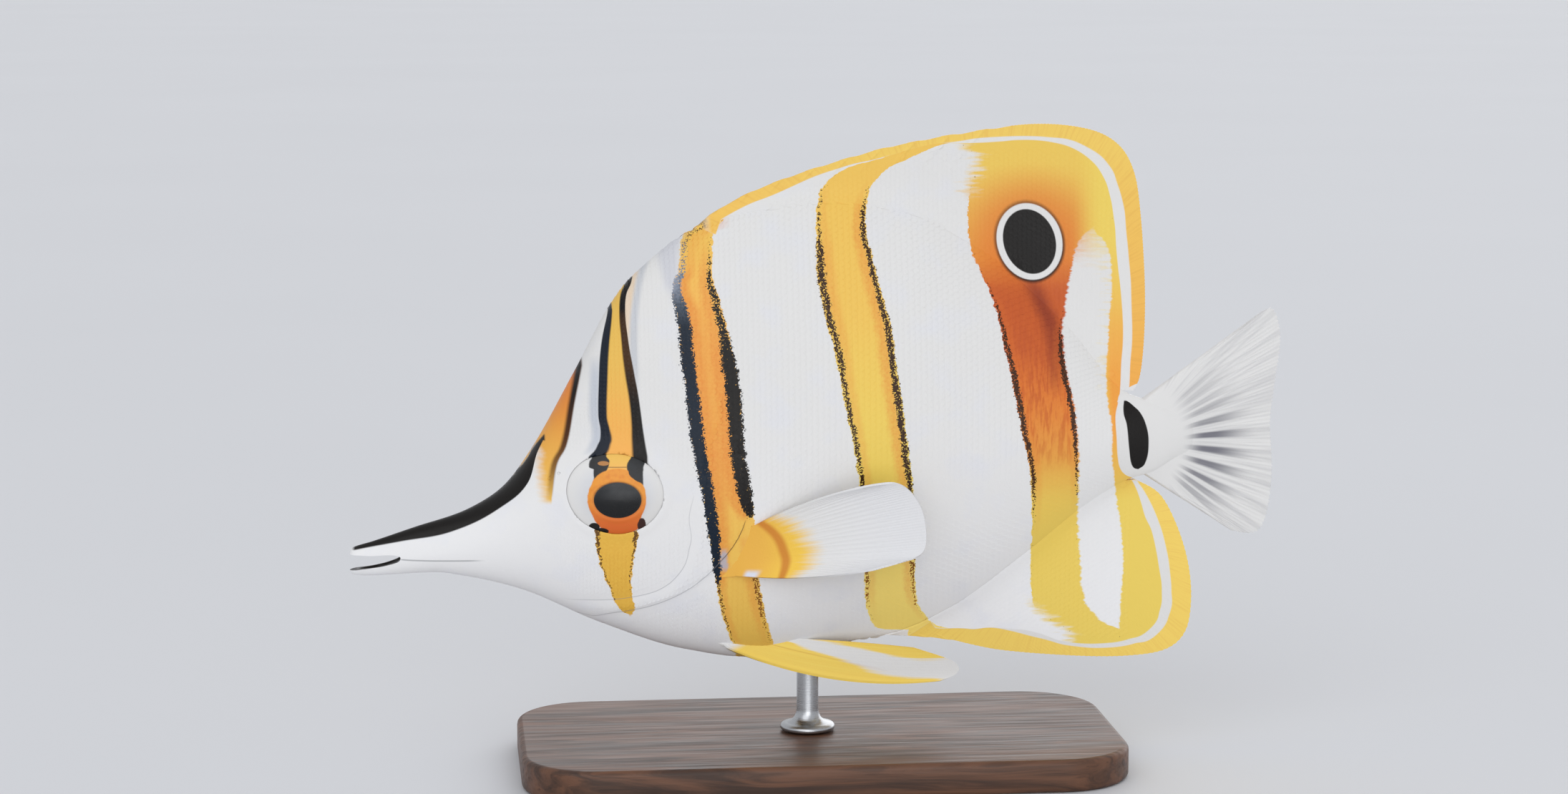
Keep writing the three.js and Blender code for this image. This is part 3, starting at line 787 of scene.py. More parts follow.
# %% [markdown]
# ## Colours
#
# Colours are written as they look on a screen, and turned to the linear values that shaders use.

# %% Paints
def paint(code):
    """A screen colour such as F0C050 as a linear shader colour."""
    parts = [int(code[k:k + 2], 16) / 255 for k in (0, 2, 4)]
    return *[p / 12.92 if p <= 0.04045 else ((p + 0.055) / 1.055) ** 2.4 for p in parts], 1


WHITE = paint("E2E1DF")
# The belly's white is lighter than the flank's: painted light that lifts the shade on the fish's underside.
BELLY_WHITE_PAINTED_LIGHT = paint("EFEFF0")
LILAC = paint("DDE0EC")
GOLD = paint("F0C45C")
PALE_GOLD = paint("EFD263")
ORANGE = paint("F8B45A")
DEEP_ORANGE = paint("E2762E")
COPPER = paint("C8622A")
NAVY = paint("0E1E2E")
BLACK = paint("151210")
BROWN = paint("5A3216")
SPECK_BROWN = paint("38200F")

# %% [markdown]
# ## Node helpers
#
# The markings are long node chains, so they are written as sums: a Value stands for a node's
# output, and adding or multiplying it makes the node for that. The other helpers are a soft step, a
# curve through points, a noise, a distance and a mix of two colours.

# %% Shader node helpers
class Value:
    """A node's output. A sum with it makes the math node for that sum."""

    def __init__(self, socket):
        self.socket = socket

    def __add__(self, other):
        return calc("ADD", self, other)

    def __sub__(self, other):
        return calc("SUBTRACT", self, other)

    def __rsub__(self, other):
        return calc("SUBTRACT", other, self)

    def __mul__(self, other):
        return calc("MULTIPLY", self, other)

    def __truediv__(self, other):
        return calc("DIVIDE", self, other)

    def __abs__(self):
        return calc("ABSOLUTE", self)

    __radd__ = __add__
    __rmul__ = __mul__


def plain(value):
    """The socket of a value, and anything else as it is."""
    return value.socket if isinstance(value, Value) else value


def node_beside(kind, *values):
    """A new node in the tree that holds the first socket among the values."""
    sockets = (plain(value) for value in values)
    first = next(item for item in sockets if isinstance(item, bpy.types.NodeSocket))
    return first.id_data.nodes.new(kind)


def feed(socket, value):
    """Puts a number, a colour or another node's output into an input."""
    value = plain(value)
    if isinstance(value, bpy.types.NodeSocket):
        socket.id_data.links.new(value, socket)
    else:
        socket.default_value = value


def calc(operation, *values):
    node = node_beside("ShaderNodeMath", *values)
    node.operation = operation
    for socket, value in zip(node.inputs, values):
        feed(socket, value)
    return Value(node.outputs[0])


def span(value, low, high, start=0, end=1, soft=False):
    """Maps low..high to start..end, held at both ends."""
    node = node_beside("ShaderNodeMapRange", value, low, high, start, end)
    node.interpolation_type = "SMOOTHSTEP" if soft else "LINEAR"
    for name, number in (("From Min", low), ("From Max", high), ("To Min", start), ("To Max", end)):
        feed(node.inputs[name], number)
    feed(node.inputs["Value"], value)
    return Value(node.outputs[0])


def step(value, edge=0, width=0.12):
    """0 below the edge and 1 above it, with a soft border."""
    return span(value, edge - width, edge + width, soft=True)


def curve(value, points):
    """A smooth curve through (input, output) points, held at its ends."""
    points = sorted(points)
    places = [p[0] for p in points]
    low = min(p[1] for p in points)
    high = max(p[1] for p in points)
    node = node_beside("ShaderNodeFloatCurve", value)
    line = node.mapping.curves[0]
    ends = [(0, (points[0][1] - low) / (high - low)), (1, (points[-1][1] - low) / (high - low))]
    line.points[0].location = ends[0]
    line.points[1].location = ends[1]
    for place, result in points[1:-1]:
        share = (place - places[0]) / (places[-1] - places[0])
        line.points.new(share, (result - low) / (high - low))
    for point in line.points:
        point.handle_type = "AUTO_CLAMPED"
    node.mapping.update()
    feed(node.inputs["Value"], span(value, places[0], places[-1]))
    return Value(node.outputs[0]) * (high - low) + low


def across(points):
    """Side-view points as pairs of height and length, for an edge that runs up the body."""
    return [(z, x) for x, z in points]


def noise(place, scale, detail=2, roughness=0.5):
    node = node_beside("ShaderNodeTexNoise", place)
    feed(node.inputs["Vector"], place)
    feed(node.inputs["Scale"], scale)
    feed(node.inputs["Detail"], detail)
    feed(node.inputs["Roughness"], roughness)
    return Value(node.outputs[0])


def scaled(place, factors, shift=(0, 0, 0)):
    """A place with each axis multiplied, and then shifted."""
    node = node_beside("ShaderNodeVectorMath", place)
    node.operation = "MULTIPLY_ADD"
    for socket, value in zip(node.inputs, (place, factors, shift)):
        feed(socket, value)
    return Value(node.outputs[0])


def radius(x, z):
    """Distance from the point where x and z are 0."""
    return calc("SQRT", x * x + z * z)


def mix(factor, below, above):
    """One colour laid over another."""
    node = node_beside("ShaderNodeMix", factor, below, above)
    node.data_type = "RGBA"
    feed(node.inputs[0], factor)
    feed(node.inputs[6], below)
    feed(node.inputs[7], above)
    return Value(node.outputs[2])


def node_group(name, inputs, outputs):
    """A new shader node group with its input and output nodes."""
    group = bpy.data.node_groups.new(name, "ShaderNodeTree")
    for title, kind in inputs:
        group.interface.new_socket(title, in_out="INPUT", socket_type=kind)
    for title, kind in outputs:
        group.interface.new_socket(title, in_out="OUTPUT", socket_type=kind)
    return group, group.nodes.new("NodeGroupInput"), group.nodes.new("NodeGroupOutput")

# %% [markdown]
# ## The markings
#
# The bands run over skin, scales and fins alike, so they are one node group that reads the place on
# the fish and gives its colour. Each band edge is a curve of length against height, as it would be
# read off the real animal, and the curved lines near the fins' margins are curves of distance
# against angle round a centre. Noise roughens the edges, because they are rows of tiny scales that
# are each either light or dark.

# %% Where the bands run
BAND_TWO = {
    "left": [
        (-22.2, 39.2), (-25.2, 36.6), (-25.7, 31.8), (-26.8, 28.7), (-26, 22.7), (-25.5, 16.7),
        (-24.8, 10.6), (-23.7, 1), (-21.4, -11.7), (-20.1, -21), (-18.9, -28.1), (-17.3, -33.8),
        (-15.3, -38.1),
    ],
    "right": [
        (-17.3, 40.6), (-19.6, 36.7), (-19.7, 31.8), (-18.7, 26.7), (-16.8, 19.4), (-16, 14.6),
        (-15.3, 10.1), (-14.6, -1.4), (-13.8, -5.6), (-13, -10.8), (-11.6, -25.2), (-9.6, -34),
        (-8.3, -38.2),
    ],
}
BAND_THREE = {
    "left": [
        (12.9, 51.8), (1.3, 46.9), (-0.5, 43.2), (-0.9, 38.5), (-1, 32.6), (0.1, 24.5),
        (1.7, 18.4), (3.2, 10.2), (5.6, -1.8), (6.2, -6.4), (7.5, -21.9), (8, -28.6), (8.8, -31.6),
        (9.7, -33.9), (10.9, -34.8), (16.5, -35.4),
    ],
    "right": [
        (25, 54.2), (23.4, 53.9), (21.6, 53.5), (19.6, 52.7), (17.6, 51.8), (15.6, 50.9),
        (12.7, 49.6), (11.1, 48.2), (9.8, 46.7), (8.7, 44), (8.2, 39.2), (9.1, 34.4), (11, 26.3),
        (12.5, 20.2), (13.2, 14.1), (14, 8.3), (15.1, 0.6), (16.3, -8.8), (16.9, -20.8),
        (17.6, -28.7), (18.8, -31.3), (20.3, -33.5), (22.2, -34.9), (28, -35.9),
    ],
}
BAND_FOUR = {
    "left": [
        (25.2, 54), (27.3, 52.6), (28.9, 51.4), (28.6, 49.1), (27.7, 46.8), (27.2, 43.6),
        (27.1, 38), (27.6, 34.8), (29.1, 31), (30.6, 27.5), (32, 23), (33.2, 17.5), (34.5, 11.5),
        (36.4, 1.8), (37.8, -4), (38.5, -9.2),
        (39.3, -24.4), (39.5, -29.6), (41.6, -33.1), (46.5, -36.3),
    ],
    "right": [
        (54, 40), (50, 38.2), (47.7, 36), (46.4, 31.8), (45.6, 27.1), (45, 22.4), (44.4, 19.5),
        (44.6, 15.1), (45.1, 11.5), (46, 7.4), (46.9, 1.4), (47.3, -4.4), (48, -16.7),
        (48.5, -22.6), (49, -28.6), (51.4, -33.4), (56.5, -36.6),
    ],
}
REAR_STRIPE = [
    (50.5, 37.6), (52.6, 35.2), (53.5, 32.4), (53.8, 27.4), (53.5, 23), (53.2, 17),
    (52.9, 12.7), (52.7, 9.6), (52.75, 7.3), (53.1, 4.8), (53.5, 3.2), (53.6, 0.2), (53.75, -4.3),
    (54.4, -7.1), (55, -11), (56.3, -18.9), (56.6, -24.9), (56.3, -30.8),
    (56, -36.4),
]
EYE_BAND = {
    "left": [
        (-38.2, 24.5), (-39.7, 17.3), (-40.1, 12), (-40.3, 6.6), (-39.9, 3), (-40.4, 1), (-42, -1.2),
    ],
    "right": [
        (-33.2, 32), (-34.2, 29.5), (-35.5, 24.2), (-35.2, 20.2), (-34.2, 13.5), (-33.5, 9.3),
        (-32.7, 2.5), (-32.2, -1),
    ],
}
CHEEK_WEDGE = {
    "left": [(-41.4, -13), (-41.2, -15.1), (-40.9, -18.7), (-39.1, -24.1), (-36.8, -29.5), (-35, -30.8)],
    "right": [(-33.6, -13), (-33.8, -16), (-34.5, -21.3), (-34.8, -25.2), (-34.2, -29.5), (-34.6, -30.8)],
}
STALK_RING = [
    (60.6, 10.2), (57.3, 9), (55.1, 7.65), (54.75, 6.1), (54.4, 4.9), (54.25, 3.5), (54.45, 0.2),
    (54.9, -4.2), (55.4, -5.8), (56.4, -7), (58.1, -7.8), (60.5, -9), (64.7, -11.6), (70, -17), (80, -24),
]
STALK_SPOT = {
    "left": [(56, 6.75), (55.8, 5.1), (56.4, 2.3), (56.9, -2), (57.35, -4.6), (57.95, -5.75), (58.8, -6.1)],
    "right": [
        (56.3, 6.75), (56.8, 6.5), (57.8, 5.7), (59.2, 4.2), (60.1, 2.2), (60.6, -0.1),
        (60.65, -1.8), (60.1, -5), (58.9, -6.1),
    ],
}
# Middle angle, spread and strength of each dark streak of the tail.
TAIL_STREAKS = [
    (-40, 2.3, 0.45), (-34.6, 2.3, 0.55), (-27.8, 3, 0.75), (-17.8, 3.5, 0.8), (-7, 3.8, 0.85),
    (3, 3.1, 0.85), (13.3, 3.1, 0.6), (22.5, 2.8, 0.4), (28.5, 2.6, 0.28), (34.8, 2.4, 0.26),
    (40.5, 2.4, 0.26),
]
SNOUT_STRIPE = [
    (-84.4, -18.6), (-75.9, -17), (-66.8, -15.2), (-57, -10.1), (-53.2, -6.4), (-51.3, -1),
    (-50.2, 1.2),
]
BLAZE_LINE = [(-57, -5.9), (-54.8, -4.3), (-53.2, -2.4), (-51.9, -0.3), (-50, 2.2)]
BLAZE_EDGE = [(-43.2, 14.6), (-44.6, 8.6), (-46.2, 1), (-48.1, -3.1), (-48.9, -8.7)]

DORSAL_CENTRE = (30, 18)
DORSAL_LINE = {
    "inner": [
        (55.2, 7.7), (55.9, 15.5), (55.9, 22.2), (55.4, 27.6), (54.8, 32.3), (54.2, 39),
        (53.3, 44), (52, 47.6), (49.6, 50.7), (46.2, 52.9), (42.8, 53.9), (35.8, 54.4),
        (32.7, 54.15), (28.7, 53.95), (25, 53.9), (21.6, 54), (17, 53.1), (12.9, 51.9),
        (5.5, 50.2), (-0.8, 48.2),
        (-7, 45.3), (-13.2, 42.9), (-17.8, 40.5),
    ],
    "outer": [
        (56.9, 7.2), (57.6, 15.5), (57.6, 22.2), (57.3, 28.9), (56.6, 35.6), (55.8, 42.3),
        (54.6, 46.3), (53, 49.7), (50.2, 52.3), (46.9, 54), (41.5, 54.9), (36.1, 55.1),
        (32.7, 55), (28.7, 54.76), (25, 54.2), (21.6, 53.9), (17, 53), (12.9, 51.8),
        (5.5, 50.1), (-0.8, 48.1),
        (-7, 45.4), (-13.2, 43), (-17.8, 40.6),
    ],
}
ANAL_CENTRE = (45, -18)
ANAL_LINE = {
    "inner": [
        (21.6, -35.2), (28.2, -35.6), (36.1, -35.9), (40, -36.5), (44.8, -38.2), (51.9, -39),
        (57.8, -38.3), (61.8, -36.5), (63.7, -32.9), (64, -29), (63.1, -23), (61.9, -17.9),
        (60.2, -13.8), (58.2, -8.7),
    ],
    "outer": [
        (21.6, -35.3), (28.2, -35.7), (36.1, -36.3), (40, -37.4), (46, -39.1), (51.9, -39.8),
        (59, -39.1), (63.4, -37.3), (65.5, -33.7), (65.8, -29), (65.3, -24.3), (63.8, -17.9),
        (61.9, -13.2), (59.4, -9.1),
    ],
}
OCELLUS = {
    "centre": (38.5, 35.95), "tilt": 20.6, "black": (4.75, 6.05), "white": (5.95, 7.1), "rim": (6.3, 7.5),
}

# %% Markings group
markings, given, result = node_group(
    "fish markings",
    [("Place", "NodeSocketVector")],
    [("Colour", "NodeSocketColor"), ("Dark", "NodeSocketFloat")],
)
fish = scaled(given.outputs["Place"], (1 / MM,) * 3, (0, 0, -AXIS_HEIGHT))
axes = markings.nodes.new("ShaderNodeSeparateXYZ")
feed(axes.inputs[0], fish)
fish_x, _, fish_z = (Value(part) for part in axes.outputs)

coarse = noise(fish, 0.7, detail=3)
fine = noise(fish, 2.4, detail=1)
wobble = coarse - 0.5 + (fine * 0.6 - 0.3)
rough_x = fish_x + wobble


def past(points, x=rough_x, width=0.1):
    """1 behind an edge that runs up the body, 0 before it."""
    edge = curve(fish_z, across(points))
    return step(x - edge, width=width)


def inside(band, x=rough_x, width=0.1):
    """1 between a band's two edges."""
    before = past(band["left"], x, width)
    behind = past(band["right"], x, width)
    return before * (1 - behind)


def heights(points, value=fish_z):
    """A curve of some strength against height."""
    return curve(value, points)


def over(colour, mask, tone):
    """Lays a tone over a colour where the mask holds."""
    return mix(mask, colour, tone)


def ragged(points, into, wide, strength):
    """The dark seam of a band, broken into specks where its strength is low.

    points is the band's outer edge, into is 1 where the band lies behind it and -1 before it,
    wide and strength are lists of (height, value)."""
    edge = curve(fish_z, across(points))
    depth = (rough_x - edge) * into
    share = depth / heights(wide)
    off = abs(share * 2 - 1)
    specks = noise(fish, 3.3, detail=1)
    level = specks * 2.2 - 1.1
    level = level + heights(strength)
    level = off * off * -0.5 + level
    dark = span(level, 0.3, 0.62, soft=True)
    near = span(share, 0.6, 1.1, soft=True) * span(share, 1.5, 2.7, 1, 0, soft=True)
    return dark, near

# %% [markdown]
# First the ground colour, then the bands from the head to the tail, then the fins' own lines.

# %% Ground and bands of the body
# The ground white grows lighter towards the belly: painted light that lifts the shade on the underside.
shade = span(fish_z, -38, 16, soft=True)
colour = mix(shade, BELLY_WHITE_PAINTED_LIGHT, WHITE)
mottle = noise(fish, 0.16, detail=4)
colour = over(colour, span(mottle, 0.5, 0.75, 0, 0.35), LILAC)
dark_all = span(fish_z, 500, 501)


def seam(colour, dark_all, points, into, wide, strength, tone, fringe=0.5, glow=DEEP_ORANGE):
    """Paints a band's dark seam, with a reddish glow on its inner side."""
    dark, near = ragged(points, into, wide, strength)
    shown = heights([(z, min(s, 1)) for z, s in strength])
    colour = over(colour, near * shown * (fine * fringe + fringe * 0.5), glow)
    colour = over(colour, dark, tone)
    return colour, calc("MAXIMUM", dark_all, dark)


band_two_tone = mix(
    heights([(-38, 0), (-14, 0.15), (0, 0.6), (24, 0.55), (36, 0.1), (41, 0)]), GOLD, ORANGE,
)
colour = over(colour, inside(BAND_TWO), band_two_tone)
left_tone = mix(
    heights([(-38, 0), (-28, 0), (-23, 1), (31, 1), (34, 0.3), (40, 0.3)]), paint("6E4420"), NAVY,
)
faded_top = heights([(22, 0), (28, 0.5), (32, 0.9), (36, 0.5), (38, 0)]) * span(fine, 0.3, 0.6, 0.4, 1)
left_tone = mix(faded_top, left_tone, paint("8C99AA"))
colour, dark_all = seam(
    colour, dark_all, BAND_TWO["left"], 1,
    [(-38, 0.7), (-26, 0.8), (-21, 1.3), (-12, 1.8), (10, 2), (24, 1.9), (30, 1.3), (40, 2.4)],
    [
        (-39, 0.1), (-33, 0.45), (-27, 0.55), (-24, 0.85), (-21, 1.2), (24, 1.2), (30, 0.95), (34, 0.4),
        (37, 0.4), (40, 0.5),
    ],
    left_tone,
)
colour, dark_all = seam(
    colour, dark_all, BAND_TWO["right"], -1,
    [(-38, 0.9), (-24, 1.2), (-12, 1.4), (-8, 2.1), (10, 2.2), (24, 1.7), (34, 1), (40, 0.8)],
    [
        (-39, 0), (-34, 0.3), (-26, 0.6), (-17, 0.5), (-14, 0), (-12, 0.9), (-9, 1.25), (14, 1.2),
        (21, 0.8), (29, 0.7), (33, 0.5), (37, 0.1),
    ],
    mix(heights([(-22, 0), (-13, 1)]), paint("8A5420"), BLACK),
)

low_specks = mix(heights([(-30, 0), (-22, 0.5), (-12, 1)]), paint("A3601C"), SPECK_BROWN)
band_three_tone = mix(heights([(-36, 1), (-6, 0.9), (14, 0.45), (30, 0), (50, 0)]), GOLD, PALE_GOLD)
# The lowest part of band three is painted a lighter yellow: painted light that lifts the shade on the
# down-facing belly.
band_three_tone = mix(heights([(-36, 1), (-24, 0.9), (-8, 0)]), band_three_tone, paint("FDE27C"))
colour = over(colour, inside(BAND_THREE), band_three_tone)
colour, dark_all = seam(
    colour, dark_all, BAND_THREE["left"], 1,
    [(-36, 0.7), (-20, 1), (5, 1.1), (30, 1.5), (40, 1), (50, 0.5)],
    [
        (-36, 0), (-31, 0.15), (-27, 0.5), (-18, 0.62), (6, 0.66), (20, 0.72), (32, 0.8), (38, 0.5),
        (43, 0.35), (47, 0),
    ],
    low_specks, fringe=0.35,
)
colour, dark_all = seam(
    colour, dark_all, BAND_THREE["right"], -1,
    [(-36, 0.7), (-20, 1.1), (5, 1.4), (30, 1.3), (40, 1.1), (50, 0.5)],
    [(-36, 0), (-30, 0.35), (-24, 0.62), (-8, 0.75), (8, 0.8), (30, 0.72), (40, 0.7), (44, 0.3), (48, 0)],
    low_specks, fringe=0.5,
)

# %% [markdown]
# Behind the third band everything up to the fins' white lines is yellow, with a white stripe let
# into it. The tone of the fourth band goes from yellow at the top through orange and copper to gold.

# %% Rear of the body
feather = noise(fish, 0.9, detail=3, roughness=0.6)
streak_place = scaled(fish, (0.35, 1, 2.2))
streaks = noise(streak_place, 0.8, detail=3)
feathered_x = (streaks - 0.5) * 8 + fish_x

hue = heights(
    [
        (-40, 0), (-14, 0.08), (-8, 0.3), (0, 0.72), (12, 0.95), (24, 1), (30, 0.8), (38, 0.5),
        (44, 0.32), (50, 0.14),
    ]
)
rear_tone = mix(hue, PALE_GOLD, DEEP_ORANGE)
fibres_place = scaled(fish, (2.2, 1, 0.35))
fibres = noise(fibres_place, 0.9, detail=4)
copper_zone = heights(
    [(-6, 0), (2, 0.6), (14, 0.8), (24, 0.7), (30, 0)]
) * span(fibres, 0.42, 0.62, soft=True)
rear_tone = mix(copper_zone, rear_tone, COPPER)
maroon_line = curve(fish_z, across([(38.6, 29.5), (40.6, 24.7), (42.3, 20.7), (43.2, 15)]))
off_maroon = abs(rough_x - maroon_line)
maroon = span(off_maroon, 0, 3, 0.8, 0, soft=True) * heights(
    [(8, 0), (15, 0.8), (24, 1), (28, 0.7), (31, 0)]
)

ragged_left = past(BAND_FOUR["left"])
feathered_left = past(BAND_FOUR["left"], feathered_x, 2)
use_feather = heights([(-40, 1), (-33, 1), (-29, 0), (43, 0), (46, 1), (56, 1)])
behind_four = feathered_left * use_feather + ragged_left * (1 - use_feather)
offset_x = fish_x - OCELLUS["centre"][0]
offset_z = fish_z - OCELLUS["centre"][1]
tilt_sine = math.sin(math.radians(OCELLUS["tilt"]))
tilt_cosine = math.cos(math.radians(OCELLUS["tilt"]))
ocellus_x = offset_x * tilt_cosine + offset_z * tilt_sine
ocellus_z = offset_z * tilt_cosine - offset_x * tilt_sine


def from_ocellus(radii):
    """Distance from the ocellus' centre, 1 on an ellipse with those radii."""
    x = ocellus_x / radii[0]
    z = ocellus_z / radii[1]
    return radius(x, z)


halo = from_ocellus((10.5, 10.5))
rear_tone = mix(span(halo, 0.55, 1.5, 0.7, 0, soft=True), rear_tone, DEEP_ORANGE)
side_gold = span(fish_x, 46, 52, 0, 1, soft=True)
rear_tone = mix(side_gold, rear_tone, PALE_GOLD)
strip_tone = heights([(-12, 0), (-3, 0.6), (6, 1), (16, 0.8), (28, 0.25), (36, 0)])
rear_tone = mix(strip_tone * span(fish_x, 51.5, 54, soft=True), rear_tone, paint("F2A448"))
rust = heights([(6, 0), (12, 0.35), (18, 0.7), (25, 0.75), (29, 0.45), (33, 0)])
off_side = span(fish_x, 46, 50, 1, 0, soft=True)
rear_tone = mix(rust * off_side, rear_tone, paint("BE552C"))
rear_tone = mix(maroon, rear_tone, paint("8A3826"))
colour = over(colour, behind_four, rear_tone)

stripe_left = past(BAND_FOUR["right"], (streaks - 0.5) * 1.6 + fish_x, 0.25)
stripe_right = past(REAR_STRIPE, streaks - 0.5 + fish_x, 0.2)
stripe = stripe_left * (1 - stripe_right) * span(streaks * 9 + fish_z, 46.5, 34.5, soft=True) * span(
    feather * 4 + fish_z, -35.5, -33.5, soft=True,
)
# The white stripe takes the same ground white, with its painted light towards the belly.
colour = over(colour, stripe, mix(shade, BELLY_WHITE_PAINTED_LIGHT, WHITE))
wisps = stripe * span(
    curve(fish_z, across(REAR_STRIPE)) - fish_x, 0, 2.6, 1, 0,
) * span(streaks, 0.52, 0.66, 0, 0.45, soft=True) * heights([(8, 0), (12, 1), (32, 1), (38, 0.3)])
colour = over(colour, wisps, PALE_GOLD)
colour, dark_all = seam(
    colour, dark_all, BAND_FOUR["left"], 1, [(-20, 0.6), (-10, 0.9), (10, 1.2), (24, 0.8), (32, 0.5)],
    [(-18, 0), (-11, 0.45), (-6, 0.75), (8, 0.85), (16, 0.75), (24, 0.55), (30, 0.1), (36, 0)],
    mix(fine, BLACK, BROWN), fringe=0.3,
)
colour, dark_all = seam(
    colour, dark_all, BAND_FOUR["right"], -1, [(-20, 0.5), (-8, 0.7), (8, 1), (20, 0.8), (28, 0.5)],
    [(-14, 0), (-9, 0.4), (-2, 0.7), (10, 0.95), (17, 0.8), (21, 0.3), (25, 0)], mix(fine, BROWN, BLACK),
    fringe=0.3,
)

# %% Ocellus
rim_mask = span(from_ocellus(OCELLUS["rim"]), 1.07, 0.96, soft=True)
colour = over(colour, rim_mask * span(ocellus_z, 6, -7, 0.6, 0.95), BLACK)
colour = over(colour, step(from_ocellus(OCELLUS["white"]), 1, -0.02), WHITE)
black_spot = step(from_ocellus(OCELLUS["black"]), 1, -0.02)
colour = over(colour, black_spot, BLACK)
dark_all = calc("MAXIMUM", dark_all, black_spot)

# %% [markdown]
# The fins' margins are yellow with a thin white line inside, drawn as two distances from a centre.
# Fine darker lines across the margin follow the rays.

# %% Fin margins
def polar(centre):
    """Angle in degrees and distance round a centre."""
    x = fish_x - centre[0]
    z = fish_z - centre[1]
    angle = calc("ARCTAN2", z, x) * (180 / math.pi)
    return angle, radius(x, z)


def margin(colour, centre, lines, where, tone, ticks):
    """A fin's white line and its yellow margin, from the first line's angle to its last."""
    angle, distance = polar(centre)
    angles = [a for a, _ in around(centre, lines["inner"])]
    where = where * step(angle, min(angles) - 3) * step(angle, max(angles) + 3, -0.12)
    beyond = {
        word: where * step(
            distance - curve(angle, around(centre, lines[word]))
        ) for word in ("inner", "outer")
    }
    colour = over(colour, beyond["inner"], WHITE)
    place = markings.nodes.new("ShaderNodeCombineXYZ")
    feed(place.inputs[0], angle * 1.3)
    feed(place.inputs[1], distance * 0.12)
    lines_over = noise(place.outputs[0], 1, detail=3)
    striped = mix(span(lines_over, 0.48, 0.68, 0, ticks), tone, paint("DEA24A"))
    return over(colour, beyond["outer"], striped)


dorsal_tone = mix(
    heights([(6, 1), (14, 0.75), (30, 0.45), (44, 0.25), (52, 0.05)]), paint("F3CF66"), paint("F3A84C"),
)
in_dorsal = step(fish_z, 6.5) * span(fish_x, -21.5, -19.5, soft=True)
colour = margin(colour, DORSAL_CENTRE, DORSAL_LINE, in_dorsal, dorsal_tone, 0.28)
in_anal = step(fish_z, -8.3, -0.2) * span(fish_x, 14, 15.5, soft=True)
colour = margin(colour, ANAL_CENTRE, ANAL_LINE, in_anal, paint("F7D468"), 0.18)

# %% Tail stalk and tail fin
on_stalk = past(STALK_RING, fish_x, 0.12)
colour = over(colour, on_stalk, WHITE)
angle, distance = polar((58, -1))
fan = markings.nodes.new("ShaderNodeCombineXYZ")
feed(fan.inputs[0], angle * 0.16)
feed(fan.inputs[1], distance * 0.016)
sway = noise(fan.outputs[0], 1.1, detail=2)
swayed = sway * 4 + (angle - 2)
shadows = [(-50, 0), (48, 0)]
for middle, spread, dark_share in TAIL_STREAKS:
    shadows += [(middle - spread, 0.04), (middle - 0.4 * spread, dark_share)]
    shadows += [(middle + 0.4 * spread, dark_share), (middle + spread, 0.04)]
streaked = curve(swayed, shadows) * span(distance, 9, 13.5, soft=True) * span(
    distance, 15, 24, 1, 0.1, soft=True,
) * on_stalk
ray_lines = noise(fan.outputs[0], 3.4, detail=1)
fine_streaks = span(
    ray_lines, 0.42, 0.68, 0, 0.18, soft=True,
) * span(distance, 10, 13, soft=True) * on_stalk
colour = over(colour, fine_streaks, paint("8A8A94"))
colour = over(colour, streaked, paint("565664"))
spot = inside(STALK_SPOT, fish_x, 0.1) * step(fish_z, -6.1) * step(fish_z, 6.7, -0.12)
colour = over(colour, spot, BLACK)
dark_all = calc("MAXIMUM", dark_all, spot)

# %% Bands of the head
nape = step(fish_z, 19, 3)
peach = {
    "left": [(-33, 34), (-35.6, 25.2), (-36, 17.5), (-36, 12)],
    "right": [(-30.6, 36), (-33.9, 27), (-34.7, 19), (-34.6, 12)],
}
grey = {
    "left": [(-30.6, 36), (-33.9, 27), (-34.7, 19), (-34.6, 12)],
    "right": [(-29.4, 36.4), (-32.7, 27), (-33.4, 18), (-33.2, 12)],
}
colour = over(colour, inside(peach, fish_x, 0.4) * nape * 0.75, paint("E9CFAE"))
low_nape = step(fish_z, 12, 4)
colour = over(colour, inside(grey, fish_x, 0.5) * low_nape * 0.5, paint("AEB4BF"))
haze = {
    "left": [(-25.5, 40), (-29.4, 36), (-28.6, 31), (-27.2, 26)],
    "right": [(-22, 40), (-25.4, 36), (-25.8, 31), (-25.6, 26)],
}
high_nape = span(fish_z, 25, 30, soft=True)
colour = over(colour, inside(haze, fish_x, 1) * high_nape * 0.45, paint("B9BCCB"))

above_eye = step(fish_z, -3.5, 0.3)
eye_tone = mix(heights([(0, 1), (8, 0.55), (16, 0.1), (26, 0)]), paint("EABF5C"), ORANGE)
colour = over(colour, inside(EYE_BAND, fish_x, 0.15) * above_eye, eye_tone)
right_tone = mix(heights([(8, 0), (13, 0.5), (17, 0.9), (22, 0.8), (25, 0)]), BLACK, paint("4A3018"))
halo_left = curve(fish_z, across([(x - 0.9, z) for x, z in EYE_BAND["left"]]))
off_halo = abs(fish_x - halo_left)
left_halo = span(off_halo, 0.2, 1.5, 0.6, 0, soft=True) * heights([(-1, 0), (2, 1), (11, 1), (17, 0)])
colour = over(colour, left_halo, paint("AEB7C6"))
for points, into, wide, tone in (
    (
        EYE_BAND["left"], 1, [(-2, 2.6), (2, 1.9), (6, 1.4), (12, 1.4), (18, 1.3), (25, 0.6)],
        paint("1A212D"),
    ),
    (EYE_BAND["right"], -1, [(-2, 2.6), (2, 2.1), (6, 1.7), (14, 1.5), (20, 1.1), (30, 0.8)], right_tone),
):
    edge = curve(fish_z, across(points))
    depth = (fish_x - edge) * into
    share = depth / heights(wide)
    line = span(share, -0.22, -0.06, soft=True) * span(share, 0.8, 1.1, 1, 0, soft=True) * above_eye
    colour = over(colour, line, tone)
    dark_all = calc("MAXIMUM", dark_all, line)

